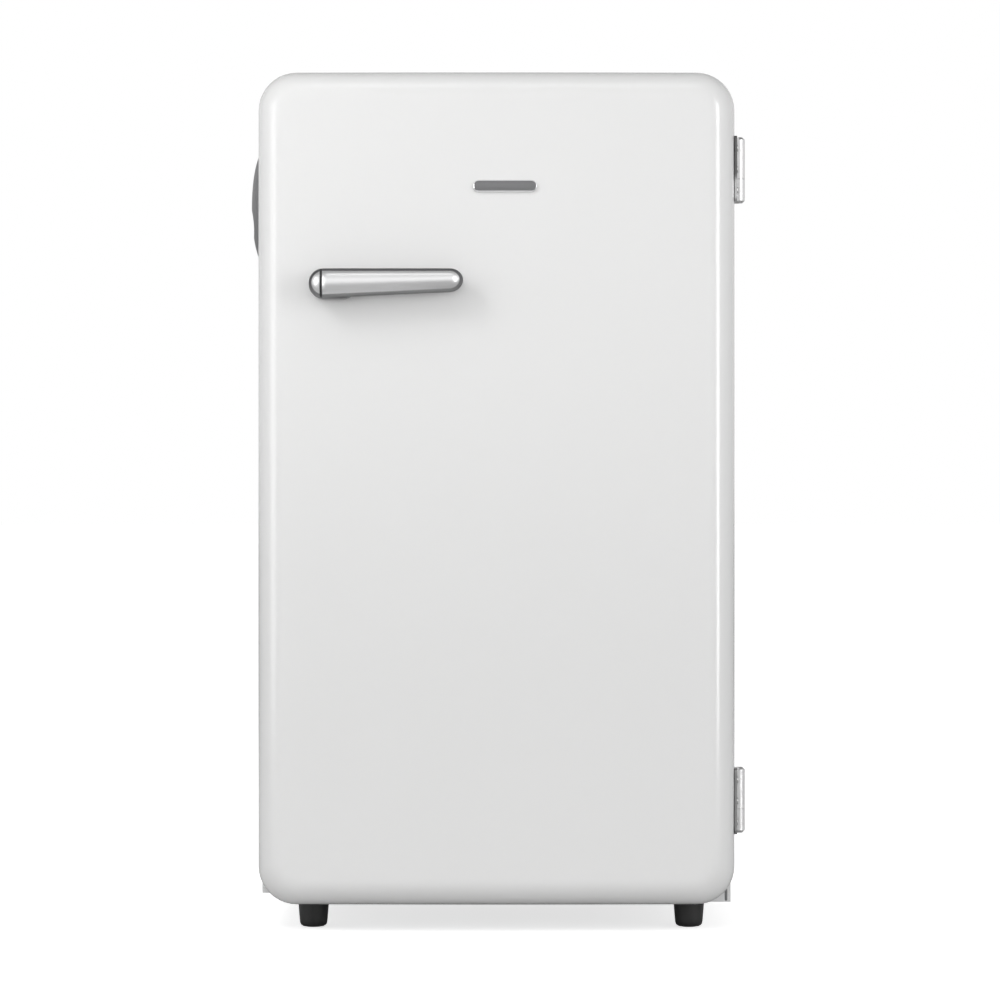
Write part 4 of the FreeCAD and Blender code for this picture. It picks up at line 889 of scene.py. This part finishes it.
def screw_head(radius, tall, axis, sign):
    """A cross-recessed head whose seat is at the origin and which faces along an axis."""
    mesh = bmesh.new()
    arm, half_slot, deep = 0.55 * radius, 0.13 * radius, 0.7 * tall
    cross = [(arm, -half_slot), (arm, half_slot), (half_slot, half_slot), (half_slot, arm),
             (-half_slot, arm), (-half_slot, half_slot), (-arm, half_slot), (-arm, -half_slot),
             (-half_slot, -half_slot), (-half_slot, -arm), (half_slot, -arm), (half_slot, -half_slot)]

    def loop(points, height):
        return [mesh.verts.new((a * mm, b * mm, height * mm)) for a, b in points]

    def circle(size, height):
        turns = [2 * math.pi * i / head_steps for i in range(head_steps)]
        points = [(size * radius * math.cos(turn), size * radius * math.sin(turn)) for turn in turns]
        return loop(points, height)

    def wall(lower, upper):
        for i in range(len(lower)):
            j = (i + 1) % len(lower)
            mesh.faces.new((lower[i], lower[j], upper[j], upper[i]))

    outline = [circle(size, share * tall) for size, share in ((1, 0), (1, 0.45), (0.9, 0.85), (0.72, 1))]
    for lower, upper in zip(outline, outline[1:]):
        wall(lower, upper)
    mesh.faces.new(outline[0])
    mouth = loop(cross, tall)
    floor_points = loop([(0.85 * a, 0.85 * b) for a, b in cross], tall - deep)
    wall(mouth, floor_points)
    mesh.faces.new(floor_points)
    pairs = [pair for ring in (outline[-1], mouth) for pair in zip(ring, ring[1:] + ring[:1])]
    rims = [mesh.edges.get(pair) or mesh.edges.new(pair) for pair in pairs]
    bmesh.ops.triangle_fill(mesh, edges=rims, use_beauty=True, use_dissolve=False)
    bmesh.ops.recalc_face_normals(mesh, faces=mesh.faces)
    for vertex in mesh.verts:
        a, b, height = vertex.co
        vertex.co = (sign * height, a, sign * b) if axis == "X" else (a, sign * height, -sign * b)
    bmesh.ops.recalc_face_normals(mesh, faces=mesh.faces)
    return mesh


hinge_lows = (728, 97)
hinge_screw_pitch = 21
back_seat_y = 217.4


def hinge_screws(seat_x, y):
    rows = [((seat_x, y, low + 12), (0, 0, hinge_screw_pitch), 3) for low in hinge_lows]
    return copies(screw_head(3.6, 1.4, "X", 1), rows, "zinc_steel", (full_turn, 0, 0))


piece("cabinet_hinge_screw_heads", hinge_screws(seat_x=237.5, y=-125), "zinc_steel", "cabinet",
      ["hinge_cabinet_screws"])
piece("door_hinge_screw_heads", hinge_screws(seat_x=240.0, y=-169), "zinc_steel", "door",
      ["hinge_door_screws"])

opener_rows = [((-240, -74, 772), (0, 0, -88), 2)]
opener_heads = copies(screw_head(4.0, 2.0, "X", -1), opener_rows, "zinc_steel", (full_turn, 0, 0))
piece("opener_screw_heads", opener_heads, "zinc_steel", "cabinet", ["opener_screws"])

back_rows = [((side * 226, back_seat_y, 240), (0, 0, 143), 5) for side in (-1, 1)]
back_rows.append(((-150, back_seat_y, 845), (100, 0, 0), 4))
back_heads = copies(screw_head(3.4, 2.0, "Y", 1), back_rows, "zinc_steel", (0, full_turn, 0))
piece("back_panel_screw_heads", back_heads, "zinc_steel", "cabinet")

# %% [markdown]
# ## Condenser wires
# Fine steel wires are welded upright across the condenser tube, on both sides, to spread its heat. They
# are thin and many, so each is a six-sided rod with closed ends.

# %% Weld the condenser wires
wire_low, wire_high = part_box("condenser_wires")
wire_radius = 0.8
wire_pitch, wire_count, first_wire_x = 12, 27, -156
wire_layers = (234.8, 241.2)

wire_tall = (wire_high.z - wire_low.z) / mm
wire = turned([(wire_radius, 0.0), (wire_radius, wire_tall)], 6, (0, 0))
wire_rows = [((first_wire_x, layer_y, wire_low.z / mm), (wire_pitch, 0, 0), wire_count)
             for layer_y in wire_layers]
wires = copies(wire, wire_rows, "machine_black")
piece("condenser_wire_grille", wires, "machine_black", "cabinet", ["condenser_wires"])

# %% [markdown]
# ## Levelling feet
# Each front foot is a black moulded pad, a little narrower and slightly domed at the floor, screwed on a
# threaded stud. The thread is turned as a stack of small cones, which at this size looks the same as a
# helix.

# %% Turn the feet
pad_profile = [(0.0, 0.05), (6.0, 0.15), (10.5, 0.9), (12.8, 2.4), (13.7, 4.6), (14.1, 8.0), (15.2, 22.0),
               (15.5, 25.0), (15.2, 26.4), (14.6, 26.7), (0.0, 26.7)]
thread_pitch = 1.25
thread_low, thread_high = 26.7, 59.5


def thread_profile():
    points = [(0.0, thread_low), (3.4, thread_low)]
    for turn in range(int((thread_high - thread_low) / thread_pitch)):
        base = thread_low + turn * thread_pitch
        points += [(3.45, base + 0.1), (4.0, base + 0.55), (4.0, base + 0.7), (3.45, base + 1.15)]
    return points + [(3.0, thread_high), (0.0, thread_high)]


for side in ("left", "right"):
    low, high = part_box(f"foot_{side}")
    centre = ((low.x + high.x) / 2, (low.y + high.y) / 2)
    pad = turned(pad_profile, 48, centre)
    thread = turned(thread_profile(), 20, centre)
    piece(f"{side}_foot_pad", pad, "foot_black", f"{side}_foot", [f"foot_{side}"])
    piece(f"{side}_foot_thread", thread, "zinc_steel", f"{side}_foot")

# %% [markdown]
# ## Floor
# The floor is one large pale sheet, so wide that its far edge meets the white surround. To the eye it
# glows a little and is nearly white. To the light it is a mid grey, so that it doesn't flood the underside.

# %% Lay the floor
reach = 60.0
corners = [(-reach, -reach, 0), (reach, -reach, 0), (reach, reach, 0), (-reach, reach, 0)]
floor_mesh = bpy.data.meshes.new("floor")
floor_mesh.from_pydata(corners, [], [(0, 1, 2, 3)])
floor = bpy.data.objects.new("floor", floor_mesh)
scene.collection.objects.link(floor)
paint = Finish("pale floor", Roughness=0.9, Specular_IOR_Level=0.0, Emission_Strength=0.7,
               Emission_Color=(1, 1, 1, 1))
paint.surface(Base_Color=paint.mixed(paint.noise(2.0), (0.80, 0.80, 0.80), (0.78, 0.78, 0.78)))
mid_grey = paint.node("ShaderNodeBsdfDiffuse", Color=(0.58, 0.58, 0.58, 1))
paint.feed(paint.output, {"Surface": paint.to_eye_or_light(paint.shader, mid_grey)})
floor_mesh.materials.append(paint.material)
print("floor laid,", 2 * reach, "m wide")
